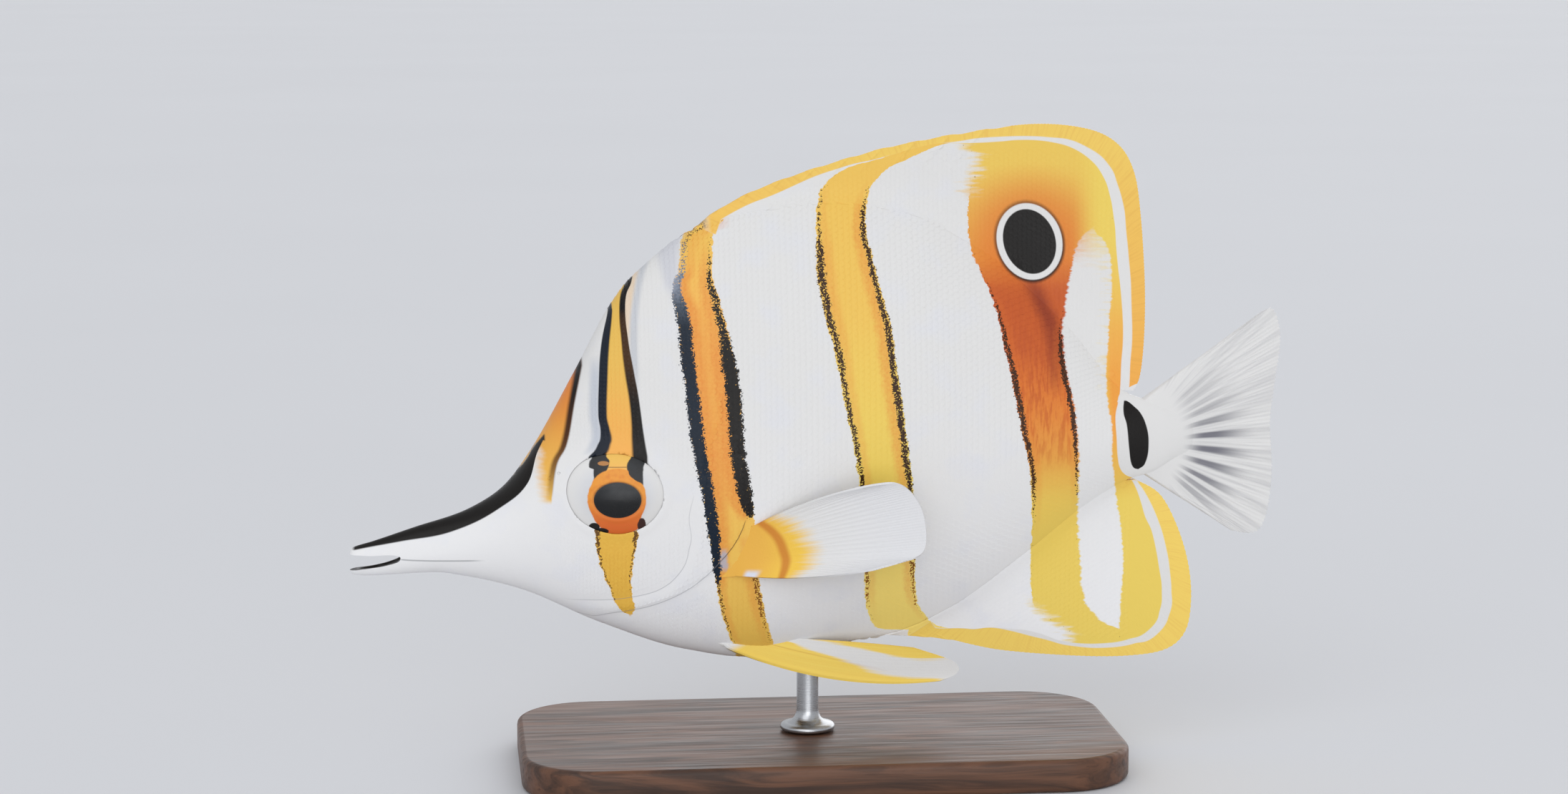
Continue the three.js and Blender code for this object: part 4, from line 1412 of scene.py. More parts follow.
patch_x = abs(rough_x + 18.1)
patch_z = abs(fish_z + 20.2)
pale_patch = span(patch_x, 0.3, 0.9, 0.8, 0, soft=True) * span(patch_z, 1, 2.6, 1, 0, soft=True)
colour = over(colour, pale_patch, paint("AEB6C8"))
wedge = inside(CHEEK_WEDGE) * step(fish_z, -12.5, -0.2) * step(fish_z, -30.8, 0.4)
colour = over(colour, wedge, mix(fine, paint("E6B146"), paint("EEC052")))
for points, into, strength in (
    (CHEEK_WEDGE["left"], 1, [(-31, 0), (-27, 0.3), (-22, 0.55), (-17, 0.8), (-14, 1)]),
    (CHEEK_WEDGE["right"], -1, [(-31, 0), (-24, 0.35), (-19, 0.5), (-15, 0.85)]),
):
    dark, near = ragged(points, into, [(-31, 0.35), (-22, 0.5), (-15, 0.8)], strength)
    colour = over(colour, dark * step(fish_z, -12.5, -0.2) * step(fish_z, -30.8, 0.4), paint("6B4A22"))

# %% Painted shade in the grooves of the bones and the jaw
angle, distance = polar(CHEEK)
# Thin brown and grey lines along the gill cover's and the cheek bone's edges are painted shade in their
# grooves.
for points, strength, tone in (
    (
        gill_edge_points[4:],
        [(-128, 0), (-108, 0.15), (-90, 0.4), (-45, 0.45), (-35, 0.8), (-24, 0.8), (-18, 0)], "5E4630",
    ),
    (
        cheek_edge_points[:-1], [(-112, 0), (-95, 0.35), (-60, 0.4), (-30, 0.3), (-16, 0.15), (-12, 0)],
        "8C8E94",
    ),
):
    off = abs(distance - curve(angle, around(CHEEK, points)))
    line = span(off, 0.03, 0.14, 1, 0, soft=True) * curve(angle, strength)
    groove_shade_tone = mix(span(angle, -45, -35), paint("8A8C92"), paint(tone))
    colour = over(colour, line, groove_shade_tone)
# A thin grey line along the jaw crease is painted shade in the crease.
crease = curve(fish_x, jaw_crease_points)
off = abs(fish_z - crease)
along_crease = span(fish_x, -76.4, -75.6) * span(fish_x, -64, -60.5, 1, 0, soft=True)
crease_shade_line = span(off, 0.06, 0.2, 0.55, 0, soft=True) * along_crease
colour = over(colour, crease_shade_line, paint("6C6E74"))

# %% Forehead and snout
edge = curve(fish_z, across(BLAZE_EDGE))
gap = edge - fish_x
low_fade = heights([(-9, 1), (-5, 2), (-1, 3.2), (3, 9), (15, 12)])
upper = curve(fish_x, [(-85, 0), (-57.2, 0), *BLAZE_LINE])
above_stripe = step(fish_z - upper, 0, 0.2) * span(fish_x, -56, -55.4, soft=True)
faded = span(low_fade - (streaks * 1.6 + gap), -2.6, 0.2, soft=True)
blaze = step(gap, 0, 0.15) * calc("MAXIMUM", faded, above_stripe) * step(fish_z, -9.4, 0.6)
blaze_tone = mix(heights([(-9, 0.1), (0, 0.35), (8, 0.75), (14, 0.9)]), GOLD, DEEP_ORANGE)
colour = over(colour, blaze, blaze_tone)
outline = span(gap, -0.35, 0.1, soft=True) * span(gap, 0.5, 1.3, 1, 0, soft=True) * heights(
    [(-9.2, 0), (-6, 0.45), (-2, 0.85), (4, 1), (14.6, 1)]
)
colour = over(colour, outline, mix(heights([(-9, 0), (2, 0.3), (10, 1)]), BROWN, BLACK))
lower = curve(fish_x, SNOUT_STRIPE)
stripe_mask = step(fish_z - lower, 0, 0.14) * step(fish_z - upper, 0, -0.2) * span(
    fish_x, -84.9, -84.1, soft=True,
) * step(fish_x, -49.9, -0.2)
colour = over(colour, stripe_mask, BLACK)
dark_all = calc("MAXIMUM", dark_all, stripe_mask)

feed(result.inputs["Colour"], colour)
feed(result.inputs["Dark"], dark_all)
print("markings group:", len(markings.nodes), "nodes")

# %% [markdown]
# ## Materials of the fish
#
# Living skin is satin: a thin layer of mucus over opaque scales. The roughness varies a little with
# the scales, and the black parts shine slightly more than the white ones.

# %% Skin and fin materials
def new_material(name):
    """An empty node material with its shader."""
    material = bpy.data.materials.new(name)
    material.use_nodes = True
    tree = material.node_tree
    shader = tree.nodes["Principled BSDF"]
    return material, tree, shader


def object_place(tree):
    return tree.nodes.new("ShaderNodeTexCoord").outputs["Object"]


def bump(height, strength, distance):
    node = node_beside("ShaderNodeBump", height)
    feed(node.inputs["Strength"], strength)
    feed(node.inputs["Distance"], distance)
    feed(node.inputs["Height"], height)
    return node.outputs[0]


FIN_GRAIN = 2600
RELIEF = 0.1 * MM


def marked_material(name, roughness, grain, grain_height):
    """Skin, scales and fins: the same markings with their own fine grain."""
    material, tree, shader = new_material(name)
    place = object_place(tree)
    group = tree.nodes.new("ShaderNodeGroup")
    group.node_tree = markings
    feed(group.inputs["Place"], place)
    feed(shader.inputs["Base Color"], group.outputs["Colour"])
    grains = noise(place, grain, detail=3)
    tone = span(grains, 0.3, 0.7, roughness - 0.07, roughness + 0.07)
    feed(shader.inputs["Roughness"], Value(group.outputs["Dark"]) * -0.12 + tone)
    feed(shader.inputs["Normal"], bump(grains, grain_height, RELIEF))
    shader.inputs["Specular IOR Level"].default_value = 0.22
    return material


skin_material = marked_material("fish skin", 0.46, 1500, 0.25)
scale_material = marked_material("fish scales", 0.4, 2200, 0.2)
fin_material = marked_material("fin membrane", 0.48, FIN_GRAIN, 0.3)

# The lining's near-black colour is painted shade inside the mouth and the eye sockets; its roughness gives
# it a moist gloss.
shade_lining_material, tree, shader = new_material("painted shade lining")
moist = noise(object_place(tree), 900, detail=3)
feed(shader.inputs["Base Color"], mix(moist, paint("1A1716"), paint("2E2826")))
feed(shader.inputs["Roughness"], span(moist, 0.3, 0.7, 0.3, 0.5))

# %% [markdown]
# The paired fins have patterns of their own, which follow the fin and not the body: a yellow base
# with a brown arc on the pectoral, and a white stripe between yellow ones on the pelvic. They read
# the shares u and v that the fin builder stored on every vertex.

# %% Paired fin materials
def fin_shares(tree):
    """The fin's own u and v at a point of its surface."""
    stored = tree.nodes.new("ShaderNodeAttribute")
    stored.attribute_name = "fin_place"
    parts = tree.nodes.new("ShaderNodeSeparateXYZ")
    feed(parts.inputs[0], stored.outputs["Vector"])
    return Value(parts.outputs[0]), Value(parts.outputs[1])


def along_rays(u, v, lines):
    """Noise drawn out along the rays."""
    place = tree.nodes.new("ShaderNodeCombineXYZ")
    feed(place.inputs[0], u * lines)
    feed(place.inputs[1], v)
    return noise(place.outputs[0], 1, detail=3, roughness=0.6)


def finish_fin(tree, shader, colour):
    """Roughness and fine relief that all paired fins share."""
    place = object_place(tree)
    grains = noise(place, FIN_GRAIN, detail=3)
    feed(shader.inputs["Base Color"], colour)
    feed(shader.inputs["Roughness"], span(grains, 0.3, 0.7, 0.42, 0.56))
    feed(shader.inputs["Normal"], bump(grains, 0.3, RELIEF))
    shader.inputs["Specular IOR Level"].default_value = 0.25


pectoral_material, tree, shader = new_material("pectoral fin")
u, v = fin_shares(tree)
rays_noise = along_rays(u, v, 26)
fading = (rays_noise - 0.5) * 0.2 + v
fade_line = curve(u, [(0, 0.22), (0.2, 0.29), (0.5, 0.36), (0.75, 0.41), (1, 0.42)])
yellow_part = span(fading - fade_line, -0.07, 0.09, 1, 0, soft=True)
arc_line = curve(u, [(0, 0.14), (0.15, 0.165), (0.4, 0.215), (0.62, 0.25), (0.85, 0.3), (1, 0.335)])
off_arc = abs(v - arc_line)
arc = span(off_arc, 0.008, 0.042, 0.8, 0, soft=True)
membrane = mix(span(v, 0.3, 0.9, 0, 0.25, soft=True), WHITE, LILAC)
base_yellow = mix(span(v, 0.08, 0.34, soft=True), paint("EDB54C"), paint("F4C84E"))
colour = mix(yellow_part, membrane, base_yellow)
colour = mix(arc * yellow_part, colour, paint("CB7628"))
# A small pale lilac patch near the lower end of the root is a painted highlight.
pale_root = span(u, 0.82, 0.95, soft=True) * span(v, 0.05, 0.09, soft=True) * span(
    v, 0.13, 0.18, 1, 0, soft=True,
)
colour = mix(pale_root, colour, LILAC)
finish_fin(tree, shader, colour)

pelvic_material, tree, shader = new_material("pelvic fin")
u, v = fin_shares(tree)
rays_noise = along_rays(u, v, 14)
blur = (rays_noise - 0.5) * 0.22
low_line = curve(
    v,
    [
        (0, 1), (0.15, 0.86), (0.27, 0.66), (0.4, 0.5), (0.52, 0.36), (0.63, 0.25), (0.79, 0.18),
        (0.92, 0.14), (1, 0.04),
    ],
)
high_line = curve(
    v, [(0.25, 1.05), (0.42, 0.93), (0.54, 0.85), (0.67, 0.72), (0.78, 0.58), (0.89, 0.53), (1, 0.55)],
)
shifted = u + blur
white_low = span(shifted - low_line, -0.05, 0.05, soft=True)
white_high = span(shifted - high_line, -0.06, 0.06, 1, 0, soft=True)
spine_streak = span(abs(u - (v * -0.5 + 0.62)), 0, 0.03, 0.5, 0) * span(v, 0.1, 0.75, 1, 0)
yellows = mix(rays_noise, paint("F3C956"), paint("F8DD6C"))
colour = mix(white_low * white_high, yellows, WHITE)
colour = mix(spine_streak, colour, paint("C98F34"))
pale_root = span(v, 0, 0.05, 1, 0, soft=True)
colour = mix(pale_root, colour, WHITE)
finish_fin(tree, shader, colour)

# %% Dress the skin and the fins
dress(skin, [skin_material, shade_lining_material], (
    "lower_jaw", "snout", "head", "torso", "tail_stalk", "gill_cover_left", "gill_cover_right",
))
dress(dorsal, [fin_material], ("dorsal_fin_spiny", "dorsal_fin_soft"))
dress(anal, [fin_material], ("anal_fin_spiny", "anal_fin_soft"))
dress(tail, [fin_material], ("tail_fin",))
for name, piece in paired.items():
    if name.startswith("pectoral"):
        dress(piece, [pectoral_material], (name,))
    else:
        dress(piece, [pelvic_material], (name,))

# %% [markdown]
# ## Scales
#
# A copperband's scales are small and rough, like roof tiles: the front of each is sunk in the skin
# and its rear edge lies free over the next. One scale is modelled, and Geometry Nodes set a copy on
# every site. The sites run in staggered columns round each cross section. They are smallest on the
# head and on the stalk, and leave the eyes, the snout and the open edges of the gill cover bare.

# %% One scale
SCALE_SIDES = 12
SCALE_BASE = -0.13
SCALE_FRONT = -0.08
SCALE_REAR = 0.065

bm = bmesh.new()
bmesh.ops.create_circle(bm, cap_ends=True, segments=SCALE_SIDES, radius=0.5)
underside = next(iter(bm.faces))
grown = bmesh.ops.extrude_face_region(bm, geom=[underside])["geom"]
upper = next(item for item in grown if isinstance(item, bmesh.types.BMFace))
for vertex in bm.verts:
    on_top = upper in vertex.link_faces
    tilted = SCALE_FRONT + (SCALE_REAR - SCALE_FRONT) * (vertex.co.x + 0.5)
    vertex.co.z = tilted if on_top else SCALE_BASE
bmesh.ops.recalc_face_normals(bm, faces=bm.faces)
scale = new_object("one_scale", bm, Matrix.Identity(4))
leaf = scale.data.attributes.new("leaf", "FLOAT_VECTOR", "POINT")
flat = np.array([vertex.co for vertex in scale.data.vertices]) * (1, 1, 0)
leaf.data.foreach_set("vector", flat.ravel())
print("one scale:", len(scale.data.polygons), "faces")

# %% Sites of the scales
FIRST_SCALE = -54
LAST_SCALE = 66.5
ROW_SHARE = 0.84
LONG_SHARE = 1.5
WIDE_SHARE = 1.18
FADE_DEPTH = 0.075
FIN_PITCH = 1.15
COLUMN_SHARE = 0.75
FRONT_COAT_END = -8
scale_pitch = profile([(-56, 0.75), (-42, 0.9), (-24, 1.15), (-6, 1.4), (30, 1.4), (56, 0.95), (68, 0.75)])
random = np.random.default_rng(11)


def covered(x, turn):
    """How fully the scales stand on the skin: 0 on the eye, on the snout and by the bones' edges."""
    z = body_surface(x, turn, 1)[:, 2]
    reach = np.hypot(x - CHEEK[0], z - CHEEK[1])
    angle = np.degrees(np.arctan2(z - CHEEK[1], x - CHEEK[0]))
    off_gill = np.where((angle > -112) & (angle < 0), np.abs(reach - gill_edge(angle)), 9)
    off_cheek = np.where((angle > -116) & (angle < 0), np.abs(reach - cheek_edge(angle)), 9)
    steep = smooth(turn, 0.6, 1.0) * (1 - smooth(x, -44, -34))
    return (
        smooth(eye_distance(x, z), 1.12, 1.6)
        * smooth(off_gill, 0.3, 1.8)
        * smooth(off_cheek, 0.3, 1.8)
        * smooth(x, -54, -43)
        * (1 - smooth(x, 52, 59))
        * (1 - steep)
        * (0.15 + 0.85 * smooth(turn, -1.4, -0.8))
    )


def body_sites():
    """Station and turn of every scale of one side."""
    turns = np.linspace(-1.52, 1.52, 500)
    stations, places = [], []
    x, column = FIRST_SCALE, 0
    while x < LAST_SCALE:
        section = body_surface(np.full(len(turns), x), turns, 1)
        way = np.concatenate([[0], np.cumsum(np.linalg.norm(np.diff(section, axis=0), axis=1))])
        pitch = ROW_SHARE * scale_pitch(x)
        rows = np.arange(-200, 200) + 0.5 * (column % 2)
        spots = np.interp(0, turns, way) + rows * pitch
        spots = spots[(spots > 0) & (spots < way[-1])]
        places.append(np.interp(spots, way, turns))
        stations.append(np.full(len(spots), x))
        x += scale_pitch(x) * COLUMN_SHARE
        column += 1
    return np.concatenate(stations), np.concatenate(places)


def frames_on_body(x, turn, side):
    """Roots, rearward directions and outward normals on the skin, and each root's patch."""
    tip = 0.05
    root = body_surface(x, turn, side)
    back = body_surface(x + tip, turn, side) - body_surface(x - tip, turn, side)
    up = body_surface(x, turn + 0.01, side) - body_surface(x, turn - 0.01, side)
    outward = np.cross(up, back) * side
    outward /= np.linalg.norm(outward, axis=1)[:, None]
    along = (x - FIRST_SCALE) / (LAST_SCALE - FIRST_SCALE)
    patch = np.stack([0.02 + 0.96 * along, 0.5 + side * (0.25 + 0.15 * turn), 0 * x], axis=-1)
    sunk = COAT_DEPTH + FADE_DEPTH * (1 - covered(x, turn))
    return root - sunk[:, None] * outward, back, outward, patch


stations, turns = body_sites()
seen = covered(stations, turns) > 0.1
stations, turns = stations[seen], turns[seen]
print("scales on one side of the body:", len(stations))


def fin_sites(fin_piece, centre, inner, root_edge, outward, lean, side):
    """Scales on a fin's face, inside its white line, found by looking at it from the side."""
    tree = BVHTree.FromObject(fin_piece, bpy.context.evaluated_depsgraph_get())
    limit = profile(around(np.array(centre), inner))
    roots, normals, sunk = [], [], []
    for column in range(90):
        for row in range(70):
            x = -20 + column * FIN_PITCH * COLUMN_SHARE
            z = outward * (5 + (row + 0.5 * (column % 2)) * FIN_PITCH * ROW_SHARE)
            reach = math.hypot(x - centre[0], z - centre[1])
            angle = math.degrees(math.atan2(z - centre[1], x - centre[0]))
            clear = (z - root_edge(x)) * outward
            inside_line = limit(angle) - reach
            if clear < 0.1 or inside_line < 0.4:
                continue
            start = Vector((x, side * 20, z + AXIS_HEIGHT)) * MM
            hit, normal, _, _ = tree.ray_cast(start, Vector((0, -side, 0)))
            if hit is not None:
                roots.append(hit / MM - Vector((0, 0, AXIS_HEIGHT)))
                normals.append(normal)
                sunk.append(FADE_DEPTH * (1 - smooth(inside_line, 0.3, 2.5)))
    roots = np.array(roots) - np.array(normals) * np.array(sunk)[:, None]
    back = np.tile([math.cos(lean), 0, math.sin(lean)], (len(roots), 1))
    share_x = (roots[:, 0] + 22) / 95
    share_z = np.abs(roots[:, 2]) / 60
    patch = np.stack([share_x, 0.5 + side * (0.02 + 0.46 * share_z), 0 * share_x], axis=-1)
    return roots, back, np.array(normals), patch

# %% Scale nodes
PATCH_SIZE = 0.003


def setter_nodes():
    """Geometry Nodes that set a scale on every point and store its bake patch."""
    group = bpy.data.node_groups.new("set scales", "GeometryNodeTree")
    group.interface.new_socket("Geometry", in_out="INPUT", socket_type="NodeSocketGeometry")
    group.interface.new_socket("Geometry", in_out="OUTPUT", socket_type="NodeSocketGeometry")
    nodes, link = group.nodes, group.links.new

    def stored(name):
        node = nodes.new("GeometryNodeInputNamedAttribute")
        node.data_type = "FLOAT_VECTOR"
        node.inputs["Name"].default_value = name
        return node.outputs["Attribute"]

    shape = nodes.new("GeometryNodeObjectInfo")
    shape.inputs["Object"].default_value = scale
    setter = nodes.new("GeometryNodeInstanceOnPoints")
    link(nodes.new("NodeGroupInput").outputs["Geometry"], setter.inputs["Points"])
    link(shape.outputs["Geometry"], setter.inputs["Instance"])
    link(stored("facing"), setter.inputs["Rotation"])
    link(stored("size"), setter.inputs["Scale"])
    real = nodes.new("GeometryNodeRealizeInstances")
    link(setter.outputs["Instances"], real.inputs["Geometry"])
    place = nodes.new("ShaderNodeVectorMath")
    place.operation = "MULTIPLY_ADD"
    link(stored("leaf"), place.inputs[0])
    place.inputs[1].default_value = (PATCH_SIZE,) * 3
    link(stored("patch"), place.inputs[2])
    keep = nodes.new("GeometryNodeStoreNamedAttribute")
    keep.data_type = "FLOAT2"
    keep.domain = "CORNER"
    keep.inputs["Name"].default_value = "OFBake"
    link(real.outputs["Geometry"], keep.inputs["Geometry"])
    link(place.outputs[0], keep.inputs["Value"])
    link(keep.outputs["Geometry"], nodes.new("NodeGroupOutput").inputs["Geometry"])
    return group


set_scales = setter_nodes()


def coat(name, roots, back, outward, patch, pitch, slot):
    """One coat piece: a scale on each root, turned to lie rearwards along the skin."""
    across_scale = np.cross(outward, back)
    across_scale /= np.linalg.norm(across_scale, axis=1)[:, None]
    ahead = np.cross(across_scale, outward)
    turned = [
        Matrix(rows).transposed().to_euler() for rows in np.stack([ahead, across_scale, outward], axis=1)
    ]
    wobble_turn = random.normal(0, 0.035, len(roots))
    facing = np.array([
        (e.to_matrix() @ Matrix.Rotation(w, 3, "Z")).to_euler()
        for e, w in zip(turned, wobble_turn)
    ])
    varied = random.normal(1, 0.03, len(roots))
    size = np.stack(
        [pitch * LONG_SHARE * varied, pitch * ROW_SHARE * WIDE_SHARE * varied, 0 * pitch + 1], axis=-1,
    )
    mesh = bpy.data.meshes.new(name)
    mesh.vertices.add(len(roots))
    mesh.vertices.foreach_set("co", (roots + ahead * (0.25 * pitch)[:, None]).ravel())
    for title, values in (("facing", facing), ("size", size), ("patch", patch)):
        mesh.attributes.new(title, "FLOAT_VECTOR", "POINT").data.foreach_set("vector", values.ravel())
    holder = bpy.data.objects.new(name + "_sites", mesh)
    bpy.context.scene.collection.objects.link(holder)
    holder.modifiers.new("scales", "NODES").node_group = set_scales
    graph = bpy.context.evaluated_depsgraph_get()
    result = bpy.data.meshes.new_from_object(holder.evaluated_get(graph))
    bpy.data.objects.remove(holder)
    result.transform(FISH_TO_FRAME)
    piece = bpy.data.objects.new(name, result)
    bpy.context.scene.collection.objects.link(piece)
    return dress(piece, [scale_material])


for word, side in SIDES.items():
    made = frames_on_body(stations, turns, side)
    pitch = scale_pitch(stations)
    front = stations < FRONT_COAT_END
    for part, where in (("front", front), ("rear", ~front)):
        chosen = [values[where] for values in made]
        coat(f"scales_{part}_{word}", *chosen, pitch[where], "scaled_skin")
    for name, piece, centre, inner, edge, outward, lean in (
        ("dorsal", dorsal, DORSAL_CENTRE, DORSAL_LINE["inner"], back_line, 1, 0.45),
        ("anal", anal, ANAL_CENTRE, ANAL_LINE["inner"], belly_line, -1, -0.45),
    ):
        made = fin_sites(piece, centre, inner, edge, outward, lean, side)
        coat(f"scales_{name}_{word}", *made, np.full(len(made[0]), FIN_PITCH), "scaled_skin")
bpy.data.objects.remove(scale)

# %% [markdown]
# ## Eyes
#
# The dark bands run on over the eye, which hides it from enemies. The eye is a low dome in its
# socket, and the pupil is a glossy dome of its own on it. The pattern is drawn in millimetres from
# the eye's centre: an orange ring whose outline is a curve of distance against angle, and the
# remains of the band above and below it.

# %% Eye pattern
PUPIL_CENTRE = (0.04, -1.09)
PUPIL_RADII = (4.27, 3.27)
RING_OUTLINE = [
    (-5.33, -1.14), (-5.06, 0.63), (-4.53, 1.96), (-3.89, 3.01), (-2.43, 4.06), (-1.38, 4.43),
    (0.4, 4.6), (1.75, 4.3), (2.1, 3.6), (3.03, 2.64), (4.59, 1.56), (5.05, -0.04),
    (5.1, -1.54), (4.68, -3.15), (4.32, -4.24), (3.81, -5.46), (3.31, -6.78), (1.74, -7.39),
    (-0.35, -7.5), (-1.66, -7.39), (-2.45, -6.74), (-3.51, -5.61), (-4.19, -4.5), (-4.82, -3.13),
]
BAND_LEFT = [(-0.97, 8.2), (-1.84, 6.83), (-1.35, 5.85), (-1.63, 4.73), (-3.2, 3.3)]
BAND_RIGHT = [(3.2, 8.2), (2.88, 7.19), (1.76, 4.82), (1.84, 3.8), (3.03, 2.64), (4.59, 1.56)]
DARK_LEFT = [(-4.1, 8), (-4.43, 6.51), (-4.99, 4.87), (-4.2, 4.4), (-4.15, 3)]
DARK_RIGHT = [(5.2, 8), (5.17, 6.23), (4.63, 4.25), (4.59, 1.56)]

eye_material, tree, shader = new_material("eye")
shift = scaled(object_place(tree), (1 / MM,) * 3, (-EYE_X, 0, -AXIS_HEIGHT - EYE_CENTRE[2]))
axes = tree.nodes.new("ShaderNodeSeparateXYZ")
feed(axes.inputs[0], shift)
soft_noise = noise(shift, 1.1, detail=3)
dome_x = Value(axes.outputs[0])
eye_x = dome_x + (soft_noise * 0.36 - 0.18)
eye_z = Value(axes.outputs[2])
ring_x = eye_x - PUPIL_CENTRE[0]
ring_z = eye_z - PUPIL_CENTRE[1]
ring_angle = calc("ARCTAN2", ring_z, ring_x) * (180 / math.pi)
ring_reach = radius(ring_x, ring_z)
ring_curve = around(np.array(PUPIL_CENTRE), RING_OUTLINE)
ring_curve = [(-180, ring_curve[0][1]), *ring_curve, (180, ring_curve[0][1])]
ring_edge = ring_reach - curve(ring_angle, ring_curve)
rim_x = (dome_x + 0.25) / ORBIT[0]
rim_z = eye_z / ORBIT[1]
rim = radius(rim_x, rim_z)


def beside(points):
    """1 to the right of a line up the eye."""
    return step(eye_x - curve(eye_z, across(points)), 0, 0.14)


in_band = beside(BAND_LEFT) * (1 - beside(BAND_RIGHT))
in_dark = beside(DARK_LEFT) * (1 - beside(DARK_RIGHT))
upper_half = step(eye_z, 1.3, 0.3)


def patch(centre, radii):
    """A soft oval."""
    x = (eye_x - centre[0]) / radii[0]
    z = (eye_z - centre[1]) / radii[1]
    reach = x * x + z * z
    return span(reach, 0.8, 1.2, 1, 0, soft=True)


white_shade = span(rim, 0.55, 0.95, 0, 1, soft=True)
colour = mix(white_shade, paint("D6D7DA"), WHITE)
band_tone = mix(span(eye_z, 3, 6.5, soft=True), ORANGE, paint("F0BE58"))
colour = mix(in_dark * upper_half, colour, mix(soft_noise, BLACK, paint("2C3034")))
colour = mix(patch((-2.4, 5.5), (1.0, 0.4)) * 0.8, colour, paint("C98A4A"))
colour = mix(in_band * upper_half, colour, band_tone)
ring_tone = mix(span(eye_z, -6.5, 1, 1, 0, soft=True), paint("EC9A36"), paint("DE6A2C"))
ring_tone = mix(span(soft_noise, 0.45, 0.75, 0, 0.5), ring_tone, paint("D8702A"))
colour = mix(span(ring_edge, -0.12, 0.12, 1, 0, soft=True), colour, ring_tone)
for centre, radii, tone in (
    ((-4.1, -6.0), (0.95, 0.7), BLACK), ((-2.9, -6.9), (1.35, 0.65), BLACK),
    ((4.35, -5.7), (0.75, 1.3), paint("3A201C")),
):
    colour = mix(patch(centre, radii), colour, tone)
# A thin brown line is painted across the band above the ring.
band_cross_line = span(abs(eye_z - 4.85), 0.02, 0.14, 0.7, 0) * in_band
colour = mix(band_cross_line, colour, BROWN)
pupil_x = (dome_x - PUPIL_CENTRE[0]) / PUPIL_RADII[0]
pupil_z = ring_z / PUPIL_RADII[1]
pupil_reach = radius(pupil_x, pupil_z)
pupil_shade = span(pupil_reach, 0.98, 1.1, 1, 0, soft=True) * span(ring_z, -1, 2, 0.2, 0.85)
colour = mix(pupil_shade, colour, BROWN)
in_pupil = span(pupil_reach, 0.975, 1.005, 1, 0, soft=True)
# The pupil is painted a little lighter towards its top: a painted reflection of the light above.
pupil_with_painted_reflection = mix(span(ring_z, -1, 3, soft=True), paint("141517"), paint("25282B"))
colour = mix(in_pupil, colour, pupil_with_painted_reflection)
feed(shader.inputs["Base Color"], colour)
eye_rough = span(soft_noise, 0.3, 0.7, 0.3, 0.4)
feed(shader.inputs["Roughness"], in_pupil * -0.1 + eye_rough)
shader.inputs["Specular IOR Level"].default_value = 0.35

# %% Eyes
PUPIL_BULGE = 0.3
RING_BULGE = 0.12


def bulge(points):
    """Pushes the pupil and the ring round it a little out of the eye's dome."""
    reach = np.hypot(
        (points[:, 0] - EYE_X - PUPIL_CENTRE[0]) / PUPIL_RADII[0],
        (points[:, 2] - EYE_CENTRE[2] - PUPIL_CENTRE[1]) / PUPIL_RADII[1],
    )
    outer = np.abs(points[:, 1]) > abs(EYE_CENTRE[1])
    dome = PUPIL_BULGE * np.clip(1 - reach**2, 0, 1)
    ring = RING_BULGE * np.exp(-(((reach - 1.16) / 0.12) ** 2))
    moved = points.copy()
    moved[:, 1] += np.sign(points[:, 1]) * np.where(outer, dome + ring, 0)
    return moved


for word, side in SIDES.items():
    eye = ball(EYE_CENTRE, EYE_RADII, 128, 96, EYE_TURN)
    if side > 0:
        mirrored(eye)
    for face in eye.faces:
        face.smooth = True
    eyeball = new_object(f"eyeball_{word}", eye, Matrix.Identity(4))
    move_points(eyeball.data, bulge)
    eyeball.data.transform(FISH_TO_FRAME)
    dress(eyeball, [eye_material], (f"eye_{word}",))

# %% [markdown]
# ## The stand
#
# A swimming fish needs support, so it stands on one short steel rod in a walnut base. A bevel gives
# the base the rounded edges of sanded wood, and the rod's turned outline gives it those of turned steel.

# %% Walnut base
BASE = {"length": 110, "width": 56, "thickness": 6, "corner": 14, "edge": 1}
ROD = {"x": -2, "radius": 2, "foot": 5, "flare": 4, "top": 23}

bm = bmesh.new()
bmesh.ops.create_cube(bm, size=1)
bmesh.ops.scale(bm, vec=(BASE["length"], BASE["width"], BASE["thickness"]), verts=bm.verts)
bmesh.ops.translate(bm, vec=(0, 0, BASE["thickness"] / 2), verts=bm.verts)
upright = [e for e in bm.edges if abs(e.verts[0].co.z - e.verts[1].co.z) > 1]
bmesh.ops.bevel(
    bm, geom=upright, offset=BASE["corner"], offset_type="OFFSET", segments=12, profile=0.5,
    affect="EDGES", material=-1,
)
flat_faces = [f for f in bm.faces if abs(f.normal.z) > 0.9]
rim_edges = list({e for f in flat_faces for e in f.edges})
bmesh.ops.bevel(
    bm, geom=rim_edges, offset=BASE["edge"], offset_type="OFFSET", segments=4, profile=0.5,
    affect="EDGES", material=-1,
)
for face in bm.faces:
    face.smooth = abs(face.normal.z) < 0.99
base = new_object("stand_base_board", bm, STAND_TO_FRAME)

walnut_material, tree, shader = new_material("oiled walnut")
place = object_place(tree)
grain_place = scaled(place, (18, 150, 150))
bend = noise(grain_place, 0.6, detail=3)
rings_place = tree.nodes.new("ShaderNodeVectorMath")
rings_place.operation = "ADD"
feed(rings_place.inputs[0], grain_place)
feed(rings_place.inputs[1], bend * 5)
growth = noise(rings_place.outputs[0], 1.4, detail=5, roughness=0.62)
fine_place = scaled(place, (60, 1400, 1400))
pores = noise(fine_place, 1, detail=2)
wood = mix(span(growth, 0.32, 0.68, soft=True), paint("3A2417"), paint("6B4630"))
wood = mix(span(pores, 0.6, 0.78, 0, 0.55), wood, paint("24160E"))
feed(shader.inputs["Base Color"], wood)
feed(shader.inputs["Roughness"], span(pores, 0.3, 0.8, 0.38, 0.58))
feed(shader.inputs["Normal"], bump(pores, 0.35, RELIEF))
dress(base, [walnut_material], ("stand_base",))

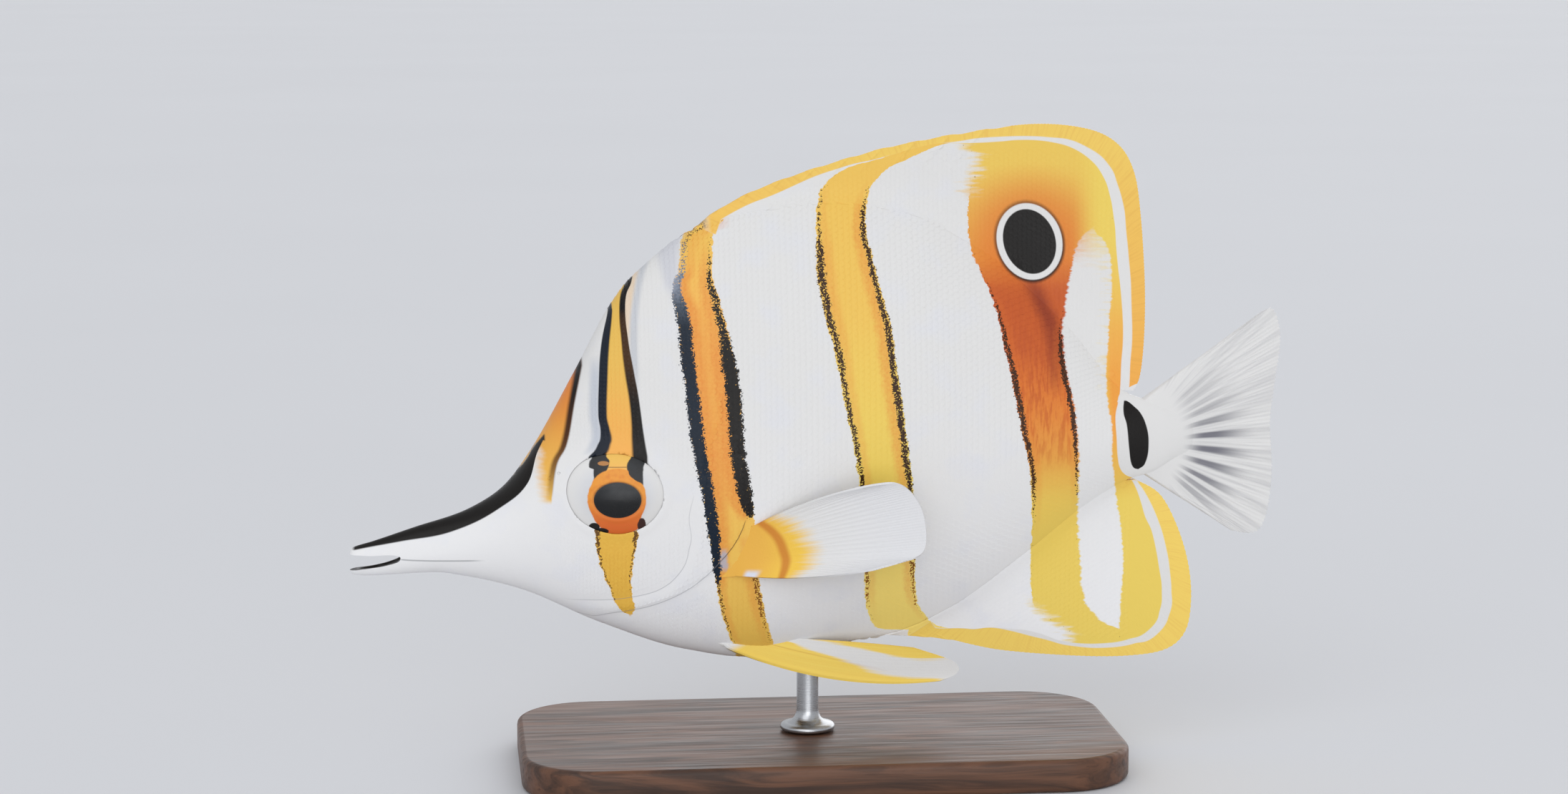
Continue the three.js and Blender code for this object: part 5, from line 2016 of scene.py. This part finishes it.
# %% Steel rod
bm = bmesh.new()
turned = [
    (0, BASE["thickness"] + 0.3), (ROD["foot"] - 0.2, BASE["thickness"] + 0.3),
    (ROD["foot"], BASE["thickness"] + 0.5), (ROD["foot"], BASE["thickness"] + 1.0),
    (ROD["foot"] - 0.25, BASE["thickness"] + 1.3), (ROD["foot"] * 0.8, BASE["thickness"] + 1.5),
    (ROD["foot"] * 0.62, BASE["thickness"] + 1.85), (ROD["foot"] * 0.5, BASE["thickness"] + 2.4),
    (ROD["radius"] + 0.15, BASE["thickness"] + 3.2), (ROD["radius"], BASE["thickness"] + ROD["flare"]),
    (ROD["radius"], ROD["top"]), (0, ROD["top"]),
]
outline_points = [bm.verts.new((r, 0, z)) for r, z in turned]
outline_edges = [bm.edges.new(pair) for pair in zip(outline_points, outline_points[1:])]
bmesh.ops.spin(
    bm, geom=outline_points + outline_edges, cent=(0, 0, 0), axis=(0, 0, 1), angle=2 * math.pi,
    steps=64, use_merge=True,
)
bmesh.ops.remove_doubles(bm, verts=bm.verts, dist=0.0005)
bmesh.ops.recalc_face_normals(bm, faces=bm.faces)
bmesh.ops.translate(bm, vec=(ROD["x"], 0, 0), verts=bm.verts)
for face in bm.faces:
    face.smooth = True
rod = new_object("stand_rod_turned", bm, STAND_TO_FRAME)
rod.data.set_sharp_from_angle(angle=math.radians(50))

steel_material, tree, shader = new_material("turned steel")
turn_place = scaled(object_place(tree), (30, 30, 6000))
lathe_lines = noise(turn_place, 1, detail=2)
feed(shader.inputs["Base Color"], mix(lathe_lines, paint("A9ABAE"), paint("C9CBCE")))
feed(shader.inputs["Roughness"], span(lathe_lines, 0.3, 0.7, 0.22, 0.38))
feed(shader.inputs["Normal"], bump(lathe_lines, 0.3, 0.05 * MM))
shader.inputs["Metallic"].default_value = 1
dress(rod, [steel_material], ("stand_rod",))

# %% [markdown]
# ## Floor and light
#
# The studio is plain: a pale floor that reaches past the picture's edges, and even, soft light.
# Three wide suns light the whole floor alike, which lamps near the fish would not. One low board of
# light in front is turned slightly upwards, to the lower side of the fish.

# %% Floor
bm = bmesh.new()
bmesh.ops.create_circle(bm, cap_ends=True, segments=96, radius=12 / MM)
floor = new_object("floor", bm, STAND_TO_FRAME)
floor_material, tree, shader = new_material("studio floor")
cloudy = noise(object_place(tree), 3, detail=3)
feed(shader.inputs["Base Color"], mix(cloudy, paint("D8D9DC"), paint("DCDDE0")))
feed(shader.inputs["Roughness"], 0.85)
floor.data.materials.append(floor_material)

# %% Lights
def sun(name, toward, strength, width):
    """Parallel light that comes from a direction, with soft shadows from its wide disc."""
    light = bpy.data.lights.new(name, "SUN")
    light.energy = strength
    light.angle = math.radians(width)
    made = bpy.data.objects.new(name, light)
    made.rotation_mode = "QUATERNION"
    made.rotation_quaternion = Vector(toward).to_track_quat("Z", "Y")
    made.location = Vector(toward) * 0.5
    bpy.context.scene.collection.objects.link(made)
    return made


sun("key light", (-0.45, -1, 0.75), 0.52, 50)
sun("front light", (0.05, -1, 0.15), 0.46, 40)
sun("back light", (0.6, 1, 0.5), 0.88, 60)
board = bpy.data.lights.new("low board", "AREA")
board.shape = "RECTANGLE"
board.size = 0.5
board.size_y = 0.08
board.energy = 0.03
board.spread = math.radians(70)
low_board = bpy.data.objects.new("low board", board)
low_board.location = (0.02, -0.24, 0.03)
low_board.rotation_mode = "QUATERNION"
low_board.rotation_quaternion = Vector((0, -1, -0.2)).to_track_quat("Z", "Y")
bpy.context.scene.collection.objects.link(low_board)
world = bpy.data.worlds.new("studio")
world.use_nodes = True
world.node_tree.nodes["Background"].inputs["Color"].default_value = paint("F2F4F8")
world.node_tree.nodes["Background"].inputs["Strength"].default_value = 0.72
bpy.context.scene.world = world
bpy.context.scene.view_settings.view_transform = "Standard"
